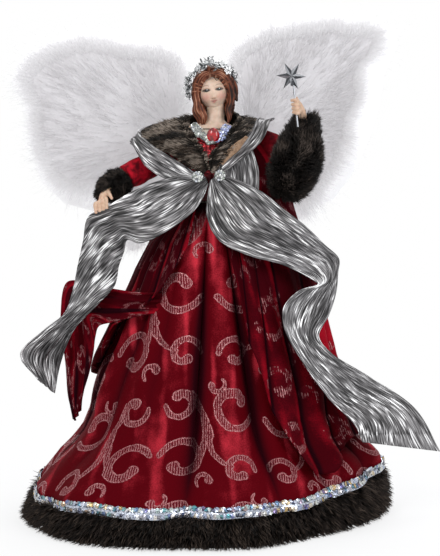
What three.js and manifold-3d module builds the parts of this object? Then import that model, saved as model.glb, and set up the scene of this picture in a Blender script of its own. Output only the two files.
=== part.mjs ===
// Christmas angel tree topper, modelled in millimetres with +Z up and the front facing -Y.
// Left and right are as seen from the front. Each sub-part is one closed solid in its own mesh.
import * as THREE from "three";
import Module from "manifold-3d";

const wasm = await Module();
wasm.setup();

// Driving sizes
const figureHeight = 352; // floor to the top of the moulded hair
const hemRadius = 149; // fur hem on the floor
const clearance = 0.3; // gap between pieces that touch
const seatGrowth = 1.7 * clearance; // how far a neighbour is swollen before it is cut out of soft cloth
const cutOverrun = 4; // how far a cutter runs past what it cuts

// Levels of the figure, as shares of its height
const coneTopShare = 0.67;
const waistShare = 0.699;
const bodiceTopShare = 0.844;
const coatTopShare = 0.852;
const coatHemShare = 0.119;
const pivotShare = 0.826;
const pivotRightShare = 0.0739; // vertical axis on which the wand arm swings
const pivotClearShare = 0.04; // what swings keeps outside this radius about that axis
const hingeBottomShare = 0.71;
const hingeTopShare = 0.801;

// Base cone that slips over the top shoot of a tree
const coneFootRadius = 82;
const coneTopRadius = 11.5;
const coneWall = 1.6;
const coneRimWidth = 3.2;
const coneRimHeight = 4;
const coneSides = 36;

// Torso block: levels above the cone, half widths and half depths, all as shares of the figure's height
const torsoHeightShares = [0.67, 0.699, 0.744, 0.795, 0.83, 0.852, 0.864];
const torsoWidthShares = [0.04, 0.055, 0.068, 0.085, 0.0966, 0.087, 0.045];
const torsoDepthShares = [0.036, 0.047, 0.062, 0.064, 0.052, 0.038, 0.028];
const torsoSides = 22;
const bodiceWall = 1;

// Skirt: bell profile as heights against the figure and radii against the hem
const skirtWall = 1.5;
const bellHeightShares = [
  0.699, 0.668, 0.611, 0.548, 0.508, 0.432, 0.341, 0.301, 0.23, 0.187, 0.156, 0.13, 0.074,
];
const bellRadiusShares = [
  0.134, 0.19, 0.293, 0.362, 0.397, 0.472, 0.55, 0.581, 0.631, 0.683, 0.744, 0.803, 0.9,
];
const outlineDegrees = [-180, -120, -90, -70, -38, -24, -8, 15, 34, 54, 75, 90, 180];
const outlineShares = [1, 1, 1, 1.05, 1.1, 1.06, 1, 1, 0.92, 0.94, 0.98, 1, 1];
// One row per fold: angle at the waist, angle at the hem, half width, depth as a share of the hem radius
const foldDegreesAndShares = [
  [-4, -9, 7, 0.034], [17, 24, 7, 0.04], [-24, -32, 8, 0.034], [38, 47, 8, 0.05], [-48, -56, 8, 0.04],
  [62, 70, 9, 0.046], [-76, -80, 9, 0.04], [88, 94, 9, 0.05], [-102, -106, 9, 0.046], [113, 118, 9, 0.046],
  [-128, -132, 9, 0.05], [140, 144, 9, 0.046], [-155, -157, 9, 0.046], [166, 169, 9, 0.05],
];
const skirtColumns = 52;
const skirtRows = 7;

// Sequin braid and fur hem
const braidHeight = 7;
const braidThickness = 1.4;
const furHemHeight = 26;
const furHemWidth = 24;
const furHemColumns = 40;

// Coat, open at the front
const coatWall = 1.5;
const coatBillow = 7;
const coatStandoff = 1;
const coatColumns = 38;
const coatEdgeHeightShares = [0.852, 0.74, 0.7, 0.611, 0.511, 0.469, 0.426, 0.284, 0.119];
const coatRightEdgeDegrees = [38, 36, 24, 17, 20, 21, 22, 28, 41];
const coatLeftEdgeDegrees = [38, 36, 24, 20, 36, 50, 70, 84, 88];

// Head, hair and bust
const headOffset = 2.4; // the head stands a little to the right of the skirt's axis
const headHalfWidth = 10.6;
const headHalfDepth = 12.4;
const headHalfHeight = 14;
const neckRadius = 6.1;
const bustHalfWidth = 21;
const bustHalfDepth = 11.5;
const hairThickness = 4.2;
const hairDrop = 9;
const hairWaveShare = 0.08;

// Garland on the head
const garlandRadius = 15.4;
const garlandTube = 1.3;
const garlandLeafLength = 7.5;
const garlandLeafWidth = 2.9;
const garlandBerryRadius = 1.9;
const garlandLeafCount = 10;
const garlandBack = 3;
const garlandLift = 7.5;
const garlandTiltDegrees = -45;

// Collar, stole, drapes and train
const furThickness = 6.5;
const furEdgeThickness = 1.6;
const stoleThickness = 1.1;
const pleatDepth = 2.4;
const liningThickness = 0.8;
const trainThickness = 1.8;

// Arms
const sleeveRadius = 9.6;
const leftCuffRadius = 14;
const rightCuffRadius = 20;
const wristRadius = 3.6;
const fingerRadius = 1.4;
const armWireRadius = 1;

// Wand
const wandRadius = 0.8;
const starRadius = 12.4;
const starInnerShare = 0.42;
const starHalfDepth = 2.6;
const starPoints = 6;

// Wings
const wingStandoff = 12; // from the hinge axis back to the card
const wingCardThickness = 1.6;
const wingLoft = 8; // depth of the down on each face of the card
const wingEdgeThickness = 2.2;
const wingSpokes = 32;
const hingeX = 10;
const hingeWireRadius = 1;
const hingeTubeWall = 2.1;
const hingeOverhang = 3;
const bracketPlate = 3.6;

// Small trim
const buttonRadius = 4.6;
const gemHalfWidth = 4.4;
const gemHalfHeight = 5.2;
const gemDepth = 2.6;
const necklineRadius = 1.9;

// Levels worked out from the shares above
const coneTop = coneTopShare * figureHeight;
const waist = waistShare * figureHeight;
const bodiceTop = bodiceTopShare * figureHeight;
const coatTop = coatTopShare * figureHeight;
const coatHem = coatHemShare * figureHeight;
const pivotX = pivotRightShare * figureHeight;
const pivotZ = pivotShare * figureHeight;
const pivotClearRadius = pivotClearShare * figureHeight;
const hingeBottom = hingeBottomShare * figureHeight;
const hingeTop = hingeTopShare * figureHeight;
const skirtHem = furHemHeight + clearance + skirtWall / 2;
const headCentreZ = figureHeight - hairThickness - headHalfHeight;

// Edges of the cloth that follows the skirt: right and back against the hem radius, up against the height
const rightDrapeUpperShares = [
  [0.064, -0.213, 0.749], [0.274, -0.224, 0.725], [0.392, -0.229, 0.685], [0.494, -0.229, 0.652],
  [0.605, -0.201, 0.607], [0.68, -0.182, 0.575], [0.673, -0.215, 0.547], [0.661, -0.248, 0.504],
  [0.624, -0.281, 0.456], [0.567, -0.319, 0.409], [0.631, -0.295, 0.371], [0.832, -0.236, 0.315],
  [1.094, -0.177, 0.235], [1.212, -0.165, 0.15],
];
const rightDrapeLowerShares = [
  [0.009, -0.222, 0.73], [0.007, -0.272, 0.677], [0.059, -0.343, 0.622], [0.208, -0.397, 0.589],
  [0.361, -0.402, 0.572], [0.482, -0.378, 0.547], [0.553, -0.397, 0.528], [0.451, -0.472, 0.515],
  [0.376, -0.496, 0.48], [0.385, -0.515, 0.431], [0.451, -0.529, 0.379], [0.602, -0.515, 0.287],
  [0.739, -0.524, 0.228], [0.78, -0.539, 0.191],
];
const leftDrapeUpperShares = [
  [-0.028, -0.213, 0.749], [-0.234, -0.224, 0.749], [-0.364, -0.236, 0.734], [-0.465, -0.246, 0.712],
  [-0.536, -0.25, 0.693], [-0.633, -0.25, 0.671], [-0.661, -0.243, 0.619], [-0.69, -0.236, 0.565],
  [-0.728, -0.236, 0.492], [-0.765, -0.236, 0.456], [-0.872, -0.246, 0.419], [-0.997, -0.255, 0.363],
  [-0.905, -0.246, 0.309],
];
const leftDrapeLowerShares = [
  [-0.019, -0.222, 0.725], [-0.102, -0.283, 0.678], [-0.229, -0.354, 0.64], [-0.357, -0.378, 0.616],
  [-0.425, -0.354, 0.622], [-0.444, -0.331, 0.595], [-0.472, -0.307, 0.563], [-0.494, -0.298, 0.521],
  [-0.588, -0.283, 0.476], [-0.702, -0.255, 0.425], [-0.749, -0.224, 0.388], [-0.794, -0.194, 0.334],
  [-0.824, -0.18, 0.272],
];
const trainOuterShares = [
  [-0.205, -0.352, 0.492], [-0.38, -0.29, 0.486], [-0.579, -0.201, 0.498], [-0.751, -0.13, 0.5],
  [-0.794, -0.118, 0.45], [-0.78, -0.118, 0.38], [-0.768, -0.123, 0.327], [-0.756, -0.132, 0.262],
  [-0.718, -0.161, 0.208],
];
const trainInnerShares = [
  [-0.208, -0.366, 0.47], [-0.382, -0.305, 0.455], [-0.52, -0.25, 0.436], [-0.591, -0.208, 0.424],
  [-0.61, -0.189, 0.4], [-0.619, -0.184, 0.365], [-0.638, -0.184, 0.32], [-0.666, -0.189, 0.28],
  [-0.695, -0.196, 0.24],
];

// Edges of what lies on the shoulders, all against the figure's height: right, back and up
const leftLapelInnerShares = [
  [0, 0.078, 0.892], [-0.062, 0.072, 0.892], [-0.119, 0.045, 0.878], [-0.15, 0.006, 0.864],
  [-0.155, -0.023, 0.855], [-0.112, -0.07, 0.819], [-0.057, -0.086, 0.784], [-0.017, -0.092, 0.757],
];
const leftLapelOuterShares = [
  [0, 0.082, 0.812], [-0.085, 0.076, 0.808], [-0.15, 0.045, 0.812], [-0.18, 0.006, 0.83],
  [-0.171, -0.03, 0.824], [-0.14, -0.066, 0.779], [-0.093, -0.086, 0.753], [-0.024, -0.094, 0.752],
];
const rightLapelInnerShares = [
  [0.004, 0.078, 0.892], [0.06, 0.072, 0.892], [0.1, 0.045, 0.888], [0.118, 0.006, 0.888],
  [0.106, -0.027, 0.886], [0.091, -0.062, 0.859], [0.047, -0.083, 0.811], [0.013, -0.091, 0.776],
];
const rightLapelOuterShares = [
  [0.004, 0.082, 0.812], [0.08, 0.08, 0.83], [0.124, 0.05, 0.874], [0.146, 0.01, 0.887],
  [0.137, -0.034, 0.884], [0.116, -0.073, 0.839], [0.074, -0.087, 0.8], [0.023, -0.094, 0.762],
];
const furInnerShares = [
  [-0.006, -0.079, 0.745], [-0.013, -0.071, 0.795], [-0.027, -0.058, 0.839], [-0.044, -0.034, 0.875],
  [-0.05, 0.004, 0.9], [-0.03, 0.034, 0.91], [0.007, 0.04, 0.912], [0.044, 0.034, 0.91],
  [0.062, 0.004, 0.904], [0.052, -0.034, 0.886], [0.043, -0.056, 0.856], [0.022, -0.068, 0.808],
  [0.002, -0.079, 0.745],
];
const furOuterShares = [
  [-0.012, -0.081, 0.742], [-0.046, -0.08, 0.778], [-0.101, -0.066, 0.817], [-0.145, -0.03, 0.852],
  [-0.142, 0.006, 0.868], [-0.1, 0.048, 0.872], [0.003, 0.058, 0.858], [0.085, 0.048, 0.872],
  [0.108, 0.006, 0.882], [0.098, -0.03, 0.882], [0.076, -0.06, 0.848], [0.036, -0.076, 0.805],
  [0.007, -0.081, 0.742],
];
const liningInnerShares = [
  [0.02, -0.068, 0.77], [0.035, -0.063, 0.805], [0.066, -0.048, 0.842], [0.088, -0.02, 0.868],
];
const liningOuterShares = [
  [0.03, -0.078, 0.768], [0.062, -0.073, 0.798], [0.1, -0.054, 0.843], [0.116, -0.02, 0.872],
];
const necklineShares = [
  [-0.043, -0.022, 0.876], [-0.026, -0.045, 0.861], [0.007, -0.063, 0.838], [0.034, -0.045, 0.861],
  [0.05, -0.022, 0.876],
];
const gemShares = [0.007, -0.049, 0.858];
const leftButtonShares = [-0.0267, -0.101, 0.7585];
const rightButtonShares = [0.0227, -0.101, 0.7614];

// Arms, against the figure's height
const leftArmShares = {
  sleeve: [[-0.1, 0.004, 0.8], [-0.145, -0.012, 0.765], [-0.19, -0.034, 0.748]],
  cuff: [[-0.184, -0.034, 0.762], [-0.214, -0.052, 0.745], [-0.236, -0.068, 0.722]],
  wire: [[-0.085, 0.004, 0.81], [-0.145, -0.012, 0.765], [-0.19, -0.036, 0.752], [-0.2155, -0.0615, 0.7356]],
  palm: [[-0.218, -0.064, 0.734], [-0.23, -0.08, 0.722], [-0.24, -0.095, 0.706]],
  firstFinger: [[-0.228, -0.109, 0.709], [-0.226, -0.1125, 0.69]],
  lastFinger: [[-0.252, -0.109, 0.699], [-0.25, -0.1125, 0.68]],
  thumb: [-0.222, -0.104, 0.712],
};
const rightArmShares = {
  sleeve: [[0.1159, 0, 0.828], [0.142, -0.008, 0.812], [0.162, -0.028, 0.767], [0.171, -0.046, 0.732]],
  cuff: [[0.17, -0.056, 0.716], [0.182, -0.068, 0.762], [0.2, -0.074, 0.82], [0.216, -0.066, 0.889]],
  palm: [[0.212, -0.074, 0.862], [0.213, -0.088, 0.893], [0.204, -0.099, 0.917]],
  wire: [
    [0.1, 0, 0.826], [0.13, -0.002, 0.8255], [0.152, -0.016, 0.795], [0.171, -0.042, 0.748],
    [0.178, -0.06, 0.755], [0.199, -0.074, 0.82], [0.2112, -0.074, 0.8585],
  ],
  firstFinger: [[0.193, -0.119, 0.898], [0.1815, -0.111, 0.9]],
  lastFinger: [[0.189, -0.114, 0.926], [0.178, -0.106, 0.926]],
  thumb: [0.19, -0.091, 0.932],
};
const cuffRadiusShares = [0.45, 0.8, 0.95, 1, 0.97, 0.78, 0.45];
const fingerCount = 4;
const wandFootShares = [0.193, -0.118, 0.868];
const wandTipShares = [0.182, -0.1, 0.977];

// Wing outlines, against the figure's height: right and up
const leftWingShares = [
  [-0.05, 1.066], [-0.1, 1.098], [-0.16, 1.1], [-0.22, 1.112], [-0.29, 1.118], [-0.355, 1.104],
  [-0.41, 1.078], [-0.462, 1.03], [-0.486, 0.985], [-0.47, 0.93], [-0.447, 0.87], [-0.446, 0.8],
  [-0.436, 0.74], [-0.41, 0.69], [-0.365, 0.655], [-0.31, 0.638], [-0.25, 0.625], [-0.195, 0.62],
  [-0.165, 0.655], [-0.13, 0.71], [-0.08, 0.75], [-0.045, 0.8], [-0.035, 0.9], [-0.03, 1.0],
];
const rightWingShares = [
  [0.055, 1.05], [0.09, 1.09], [0.15, 1.118], [0.215, 1.13], [0.28, 1.135], [0.34, 1.136],
  [0.4, 1.135], [0.455, 1.142], [0.476, 1.1], [0.452, 1.045], [0.43, 0.99], [0.43, 0.94],
  [0.41, 0.885], [0.395, 0.83], [0.372, 0.775], [0.34, 0.71], [0.3, 0.66], [0.25, 0.625],
  [0.2, 0.635], [0.15, 0.69], [0.1, 0.745], [0.055, 0.8], [0.045, 0.9], [0.04, 1.0],
];
const wingRingShares = [[0.12, 0], [1, 0], [1, 0.16], [0.93, 0.5], [0.78, 0.82], [0.5, 1], [0.12, 1]];
const wingLobeShare = 0.965;
const wingCardShare = 0.84;
const upperWireShares = [[0.045, 0.838], [0.085, 0.875], [0.21, 0.94]];
const lowerWireShares = [[0.045, 0.692], [0.085, 0.695], [0.2, 0.685]];

const radians = THREE.MathUtils.degToRad;
const mix = THREE.MathUtils.lerp;
const point = (x, y, z) => new THREE.Vector3(x, y, z);
const place = ([right, back, up]) => point(right, back, up).multiplyScalar(figureHeight);
const placeOnSkirt = ([right, back, up]) => point(right * hemRadius, back * hemRadius, up * figureHeight);

// A point around the body's axis; the angle is 0 at the front and grows to the right
const onAxis = (radius, angle, height) => point(radius * Math.sin(angle), -radius * Math.cos(angle), height);

// Straight-line reading of a table of values against keys that rise or fall steadily
function readTable(keys, values, key) {
  const rising = keys[keys.length - 1] > keys[0] ? 1 : -1;
  let i = 0;
  while (i < keys.length - 2 && (key - keys[i + 1]) * rising > 0) i += 1;
  const t = THREE.MathUtils.clamp((key - keys[i]) / (keys[i + 1] - keys[i]), 0, 1);
  return mix(values[i], values[i + 1], t);
}

// Degrees between two directions, from -180 to 180
const degreesBetween = (from, to) => THREE.MathUtils.euclideanModulo(to - from + 180, 360) - 180;

// A solid from points and triangles, turned right side out
function solidOf(points, triangles) {
  const vertProperties = new Float32Array(points.flatMap((p) => [p.x, p.y, p.z]));
  const build = (faces) => new wasm.Manifold(
    new wasm.Mesh({ numProp: 3, vertProperties, triVerts: new Uint32Array(faces.flat()) }),
  );
  const made = build(triangles);
  return made.volume() < 0 ? build(triangles.map(([a, b, c]) => [a, c, b])) : made;
}

// Triangles of the band between two rings of points
function bandTriangles(first, second, count) {
  const triangles = [];
  for (let i = 0; i < count; i += 1) {
    const j = (i + 1) % count;
    triangles.push([first + i, first + j, second + j], [first + i, second + j, second + i]);
  }
  return triangles;
}

// A solid through rings of equally many points, with a fan closing each end
function loft(rings) {
  const count = rings[0].length;
  const points = rings.flat();
  const triangles = [];
  for (let r = 0; r + 1 < rings.length; r += 1) {
    triangles.push(...bandTriangles(r * count, (r + 1) * count, count));
  }
  [0, rings.length - 1].forEach((r) => {
    const middle = points.length;
    points.push(rings[r].reduce((total, p) => total.add(p), point(0, 0, 0)).divideScalar(count));
    for (let i = 0; i < count; i += 1) {
      const [a, b] = [r * count + i, r * count + ((i + 1) % count)];
      triangles.push(r === 0 ? [middle, b, a] : [middle, a, b]);
    }
  });
  return solidOf(points, triangles);
}

// A solid whose section closes on itself, from rings of equally many points
function ringSolid(rings) {
  const count = rings[0].length;
  const bands = rings.map((_, r) => bandTriangles(r * count, ((r + 1) % rings.length) * count, count));
  return solidOf(rings.flat(), bands.flat());
}

// A sheet with a wall, from its middle surface at (u, v); with wrap it closes on itself along u
function sheet(pointAt, columns, rows, thicknessAt, wrap = false) {
  const step = 0.002;
  const across = wrap ? columns : columns + 1;
  const index = (side, i, j) => (side * (rows + 1) + j) * across + (wrap ? i % across : i);
  const points = [];
  for (const side of [-1, 1]) {
    for (let j = 0; j <= rows; j += 1) {
      for (let i = 0; i < across; i += 1) {
        const [u, v] = [i / columns, j / rows];
        const du = pointAt(u + step, v).sub(pointAt(u - step, v));
        const dv = pointAt(u, Math.min(v + step, 1)).sub(pointAt(u, Math.max(v - step, 0)));
        const normal = du.cross(dv).normalize();
        points.push(pointAt(u, v).addScaledVector(normal, (side * thicknessAt(u, v)) / 2));
      }
    }
  }
  const triangles = [];
  const quad = (a, b, c, d) => triangles.push([a, b, c], [a, c, d]);
  for (let j = 0; j < rows; j += 1) {
    for (let i = 0; i < columns; i += 1) {
      quad(index(1, i, j), index(1, i + 1, j), index(1, i + 1, j + 1), index(1, i, j + 1));
      quad(index(0, i, j), index(0, i, j + 1), index(0, i + 1, j + 1), index(0, i + 1, j));
    }
  }
  for (let i = 0; i < columns; i += 1) {
    quad(index(0, i, 0), index(0, i + 1, 0), index(1, i + 1, 0), index(1, i, 0));
    quad(index(1, i, rows), index(1, i + 1, rows), index(0, i + 1, rows), index(0, i, rows));
  }
  for (let j = 0; j < rows && !wrap; j += 1) {
    quad(index(1, 0, j), index(1, 0, j + 1), index(0, 0, j + 1), index(0, 0, j));
    quad(index(0, columns, j), index(0, columns, j + 1), index(1, columns, j + 1), index(1, columns, j));
  }
  return solidOf(points, triangles);
}

// A bar along places whose radius follows radiusAt from 0 to 1; flatness squeezes its section
function bar(places, radiusAt, sides, steps, flatness = 1) {
  const curve = new THREE.CatmullRomCurve3(places, false, "centripetal");
  const frames = curve.computeFrenetFrames(steps, false);
  const rings = [];
  for (let s = 0; s <= steps; s += 1) {
    const centre = curve.getPointAt(s / steps);
    const radius = radiusAt(s / steps);
    const ring = [];
    for (let i = 0; i < sides; i += 1) {
      const turn = (2 * Math.PI * i) / sides;
      ring.push(centre.clone()
        .addScaledVector(frames.normals[s], radius * Math.cos(turn))
        .addScaledVector(frames.binormals[s], radius * flatness * Math.sin(turn)));
    }
    rings.push(ring);
  }
  return loft(rings);
}

// An upright bar about a vertical line, from one height to another
function post(x, y, radius, bottom, top, sides) {
  const ringAt = (height) => Array.from(
    { length: sides }, (_, i) => onAxis(radius, (2 * Math.PI * i) / sides, height).add(point(x, y, 0)),
  );
  return loft([ringAt(bottom), ringAt(top)]);
}

// A rounded form whose surface is moved in or out by shapeAt(direction)
function roundForm(centre, radii, columns, rows, shapeAt = () => 1) {
  const rings = [];
  for (let r = 0; r < rows; r += 1) {
    const latitude = Math.PI * ((r + 0.5) / rows - 0.5);
    const ring = [];
    for (let i = 0; i < columns; i += 1) {
      const direction = onAxis(Math.cos(latitude), (2 * Math.PI * i) / columns, Math.sin(latitude));
      ring.push(direction.clone().multiply(radii).multiplyScalar(shapeAt(direction)).add(centre));
    }
    rings.push(ring);
  }
  return loft(rings);
}

// A turned solid from [radius, height] pairs
function turned(profile, sides) {
  return loft(profile.map(([radius, height]) => Array.from(
    { length: sides }, (_, i) => onAxis(radius, (2 * Math.PI * i) / sides, height),
  )));
}

// The solid with each vertex moved out along its normal
function grown(solid, distance) {
  const { vertProperties, triVerts } = solid.getMesh();
  const points = [];
  for (let i = 0; i < vertProperties.length; i += 3) points.push(point(...vertProperties.subarray(i, i + 3)));
  const normals = points.map(() => point(0, 0, 0));
  const triangles = [];
  for (let i = 0; i < triVerts.length; i += 3) {
    const [a, b, c] = triVerts.subarray(i, i + 3);
    const face = points[b].clone().sub(points[a]).cross(points[c].clone().sub(points[a]));
    [a, b, c].forEach((k) => normals[k].add(face));
    triangles.push([a, b, c]);
  }
  return solidOf(points.map((p, i) => p.clone().addScaledVector(normals[i].normalize(), distance)), triangles);
}

const fused = (...solids) => solids.reduce((whole, solid) => whole.add(solid));
const largest = (solid) => solid.decompose().sort((a, b) => b.volume() - a.volume())[0];

// The solid with its swollen neighbours cut out, keeping its largest piece
const seated = (solid, ...neighbours) => largest(
  neighbours.reduce((left, other) => left.subtract(grown(other, seatGrowth)), solid),
);

// Base cone and torso
function baseCone() {
  const slope = (coneFootRadius - coneTopRadius) / coneTop;
  const radiusAt = (height) => coneFootRadius - slope * height;
  const outer = turned([
    [coneFootRadius + coneRimWidth, 0],
    [coneFootRadius + coneRimWidth, coneRimHeight],
    [radiusAt(coneRimHeight), coneRimHeight + coneWall],
    [coneTopRadius, coneTop],
  ], coneSides);
  const inner = turned([
    [radiusAt(-cutOverrun) - coneWall, -cutOverrun],
    [radiusAt(coneTop + cutOverrun) - coneWall, coneTop + cutOverrun],
  ], coneSides);
  return outer.subtract(inner);
}

const torsoHeights = torsoHeightShares.map((share) => share * figureHeight);
const torsoHalfWidth = (height) => figureHeight * readTable(torsoHeights, torsoWidthShares, height);
const torsoHalfDepth = (height) => figureHeight * readTable(torsoHeights, torsoDepthShares, height);

// Distance from the axis to the torso's oval, let out by some cloth, at an angle from the front
function torsoRadius(angle, height, letOut = 0) {
  return 1 / Math.hypot(
    Math.sin(angle) / (torsoHalfWidth(height) + letOut),
    Math.cos(angle) / (torsoHalfDepth(height) + letOut),
  );
}

// The torso let out by some cloth, between two levels
function torsoForm(letOut, bottom, top) {
  const heights = [bottom, ...torsoHeights.filter((height) => height > bottom && height < top), top];
  return loft(heights.map((height) => Array.from({ length: torsoSides }, (_, i) => {
    const angle = (2 * Math.PI * i) / torsoSides;
    return onAxis(torsoRadius(angle, height, letOut), angle, height);
  })));
}

const torso = () => torsoForm(0, coneTop + clearance, torsoHeights[torsoHeights.length - 1]);

function bodice() {
  const bottom = waist + clearance + skirtWall / 2;
  return torsoForm(clearance + bodiceWall, bottom, bodiceTop)
    .subtract(torsoForm(clearance, bottom - cutOverrun, bodiceTop + cutOverrun));
}

// Skirt and coat are both read from one radius around the axis
const bellHeights = bellHeightShares.map((share) => share * figureHeight);
const outlineShareAt = (angle) => readTable(
  outlineDegrees, outlineShares, degreesBetween(0, THREE.MathUtils.radToDeg(angle)),
);

// Sum of the folds at an angle, as a share of the hem radius; down runs from 0 at the waist to 1
function foldShareAt(angle, down) {
  return foldDegreesAndShares.reduce((sum, [top, foot, width, depth]) => {
    const away = degreesBetween(mix(top, foot, down), THREE.MathUtils.radToDeg(angle));
    return sum - depth * Math.exp(-((away / width) ** 2));
  }, 0);
}

// The bell with its folds, which grow to full depth over the upper part
function bellRadius(angle, height) {
  const down = THREE.MathUtils.clamp((waist - height) / (waist - skirtHem), 0, 1);
  const bell = hemRadius * readTable(bellHeights, bellRadiusShares, height);
  const outline = mix(1, outlineShareAt(angle), down ** 3);
  const grownShare = Math.sin((Math.PI / 2) * Math.min(1, 1.6 * down));
  const folds = hemRadius * foldShareAt(angle, down) * grownShare;
  return Math.max(bell * outline + folds, torsoRadius(angle, height, clearance + skirtWall));
}

// Outer radius of the skirt, straight from row to row so that what lies on it can follow
function skirtRadius(angle, height) {
  const rowHeight = (waist - skirtHem) / skirtRows;
  const row = THREE.MathUtils.clamp((waist - height) / rowHeight, 0, skirtRows);
  const above = Math.min(Math.floor(row), skirtRows - 1);
  const [upper, lower] = [above, above + 1].map((i) => bellRadius(angle, waist - i * rowHeight));
  return mix(upper, lower, row - above);
}

function skirt() {
  const pointAt = (u, v) => {
    const angle = 2 * Math.PI * u;
    const height = mix(waist, skirtHem, v);
    return onAxis(skirtRadius(angle, height) - skirtWall / 2, angle, height);
  };
  return sheet(pointAt, skirtColumns, skirtRows, () => skirtWall, true);
}

// Middle of the coat's wall: over the bodice, then out over the skirt in folds of its own
function coatRadius(angle, height) {
  const down = THREE.MathUtils.clamp((waist - height) / (waist - coatHem), 0, 1);
  const overBodice = torsoRadius(angle, Math.max(height, waist), clearance + bodiceWall);
  const besideDegrees = [-4.4, -2.2, 0, 2.2, 4.4];
  const overSkirt = Math.max(...besideDegrees.map((beside) => skirtRadius(angle + radians(beside), height)));
  const under = height > waist ? overBodice : Math.max(overSkirt, overBodice);
  const puff = 0.5 + 0.5 * Math.cos(11 * angle + 3 * down);
  return under + clearance + coatStandoff + coatWall / 2 + coatBillow * puff * Math.min(1, 2 * down);
}

function coat() {
  const heights = coatEdgeHeightShares.map((share) => share * figureHeight);
  // Its rows are those of the torso and the skirt under it
  const rowHeight = (waist - skirtHem) / skirtRows;
  const skirtLevels = Array.from({ length: skirtRows }, (_, i) => waist - (i + 1) * rowHeight);
  const levels = [
    coatTop,
    ...torsoHeights.filter((height) => height > waist + clearance && height < coatTop - clearance).reverse(),
    waist, ...skirtLevels.filter((height) => height > coatHem + clearance), coatHem,
  ];
  const rows = levels.length - 1;
  const rowKeys = levels.map((_, i) => i / rows);
  const pointAt = (u, v) => {
    const height = readTable(rowKeys, levels, v);
    const right = radians(readTable(heights, coatRightEdgeDegrees, height));
    const left = 2 * Math.PI - radians(readTable(heights, coatLeftEdgeDegrees, height));
    const angle = mix(right, left, u);
    return onAxis(coatRadius(angle, height), angle, height);
  };
  return sheet(pointAt, coatColumns, rows, () => coatWall);
}

// Sequin braid at the skirt's foot, and the fur ring on the floor
function sequinBraid() {
  const rows = 1;
  const pointAt = (u, v) => {
    const angle = 2 * Math.PI * u;
    const height = mix(skirtHem + braidHeight, skirtHem, v);
    return onAxis(skirtRadius(angle, height) + clearance + braidThickness, angle, height);
  };
  return sheet(pointAt, skirtColumns, rows, () => braidThickness, true);
}

function furHem() {
  // Section of the pile against its width and height, from the inner foot round to the inner top
  const sectionShares = [[0, 0], [0.96, 0], [1.02, 0.2], [1.03, 0.5], [0.96, 0.82], [0.8, 1], [0, 1]];
  return ringSolid(sectionShares.map(([out, up]) => Array.from({ length: furHemColumns }, (_, i) => {
    const angle = (2 * Math.PI * i) / furHemColumns;
    return onAxis(hemRadius * outlineShareAt(angle) - furHemWidth * (1 - out), angle, furHemHeight * up);
  })));
}

// Cloth between two edges, with pleats that run along it
function ribbon(upper, lower, columns, rows, thicknessAt, pleats = 0) {
  const first = new THREE.CatmullRomCurve3(upper, false, "centripetal");
  const second = new THREE.CatmullRomCurve3(lower, false, "centripetal");
  const flat = (u, v) => first.getPoint(v).lerp(second.getPoint(v), u);
  const reach = 0.01;
  const pointAt = (u, v) => {
    const along = flat(0.5, Math.min(v + reach, 1)).sub(flat(0.5, Math.max(v - reach, 0)));
    const normal = second.getPoint(v).sub(first.getPoint(v)).cross(along).normalize();
    const fade = Math.sin(Math.PI * THREE.MathUtils.clamp(u, 0, 1));
    return flat(u, v).addScaledVector(normal, pleatDepth * fade * Math.sin(2 * Math.PI * pleats * u));
  };
  return sheet(pointAt, columns, rows, thicknessAt);
}

const lapel = (inner, outer) => ribbon(inner.map(place), outer.map(place), 4, 10, () => stoleThickness, 1);
const drape = (upper, lower) => ribbon(
  upper.map(placeOnSkirt), lower.map(placeOnSkirt), 7, 2 * upper.length - 6, () => stoleThickness, 2,
);
const coatTrain = () => ribbon(
  trainOuterShares.map(placeOnSkirt), trainInnerShares.map(placeOnSkirt), 3, 14, () => trainThickness,
);
const collarLining = () => ribbon(
  liningInnerShares.map(place), liningOuterShares.map(place), 2, 9, () => liningThickness,
);

function furCollar() {
  const pile = (u) => mix(furEdgeThickness, furThickness, Math.sin(Math.PI * u) ** 0.6);
  return ribbon(furInnerShares.map(place), furOuterShares.map(place), 5, 22, pile);
}

// Head, hair and garland
const headCentre = point(headOffset, 0, headCentreZ);
const headRadii = point(headHalfWidth, headHalfDepth, headHalfHeight);

// Nose, bridge, lips and chin stand out, eye hollows and jaw sink in, as shares of the head's radii
function faceShape(direction) {
  if (direction.y > 0) return 1;
  const bump = (side, up, width, tall, amount) => amount
    * Math.exp(-(((Math.abs(direction.x) - side) / width) ** 2) - ((direction.z - up) / tall) ** 2);
  const nose = bump(0, -0.17, 0.1, 0.13, 0.13) + bump(0, 0.02, 0.07, 0.2, 0.04);
  const mouthAndChin = bump(0, -0.5, 0.17, 0.08, 0.035) + bump(0, -0.83, 0.3, 0.16, 0.05);
  return 1 + nose + mouthAndChin - bump(0.33, 0.1, 0.17, 0.11, 0.05) - bump(0.75, -0.7, 0.3, 0.3, 0.08);
}

function neckAndBust() {
  const foot = torsoHeights[torsoHeights.length - 1] + clearance;
  const neckTop = headCentreZ - headHalfHeight / 2;
  // Half width and half depth against the bust's, and how far up to the neck's top
  const bustShares = [[1, 1, 0], [0.72, 0.86, 0.1], [0.4, 0.62, 0.24], [0.3, 0.53, 0.42], [0.29, 0.52, 1]];
  const neckSides = 16;
  return loft(bustShares.map(([wide, deep, up]) => Array.from({ length: neckSides }, (_, i) => onAxis(
    1, (2 * Math.PI * i) / neckSides, 0,
  ).multiply(point(
    Math.max(bustHalfWidth * wide, neckRadius), Math.max(bustHalfDepth * deep, neckRadius), 1,
  )).add(point(headOffset * Math.min(1, 2 * up), 0, mix(foot, neckTop, up))))));
}

const headAndBust = () => fused(roundForm(headCentre, headRadii, 22, 12, faceShape), neckAndBust());

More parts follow.
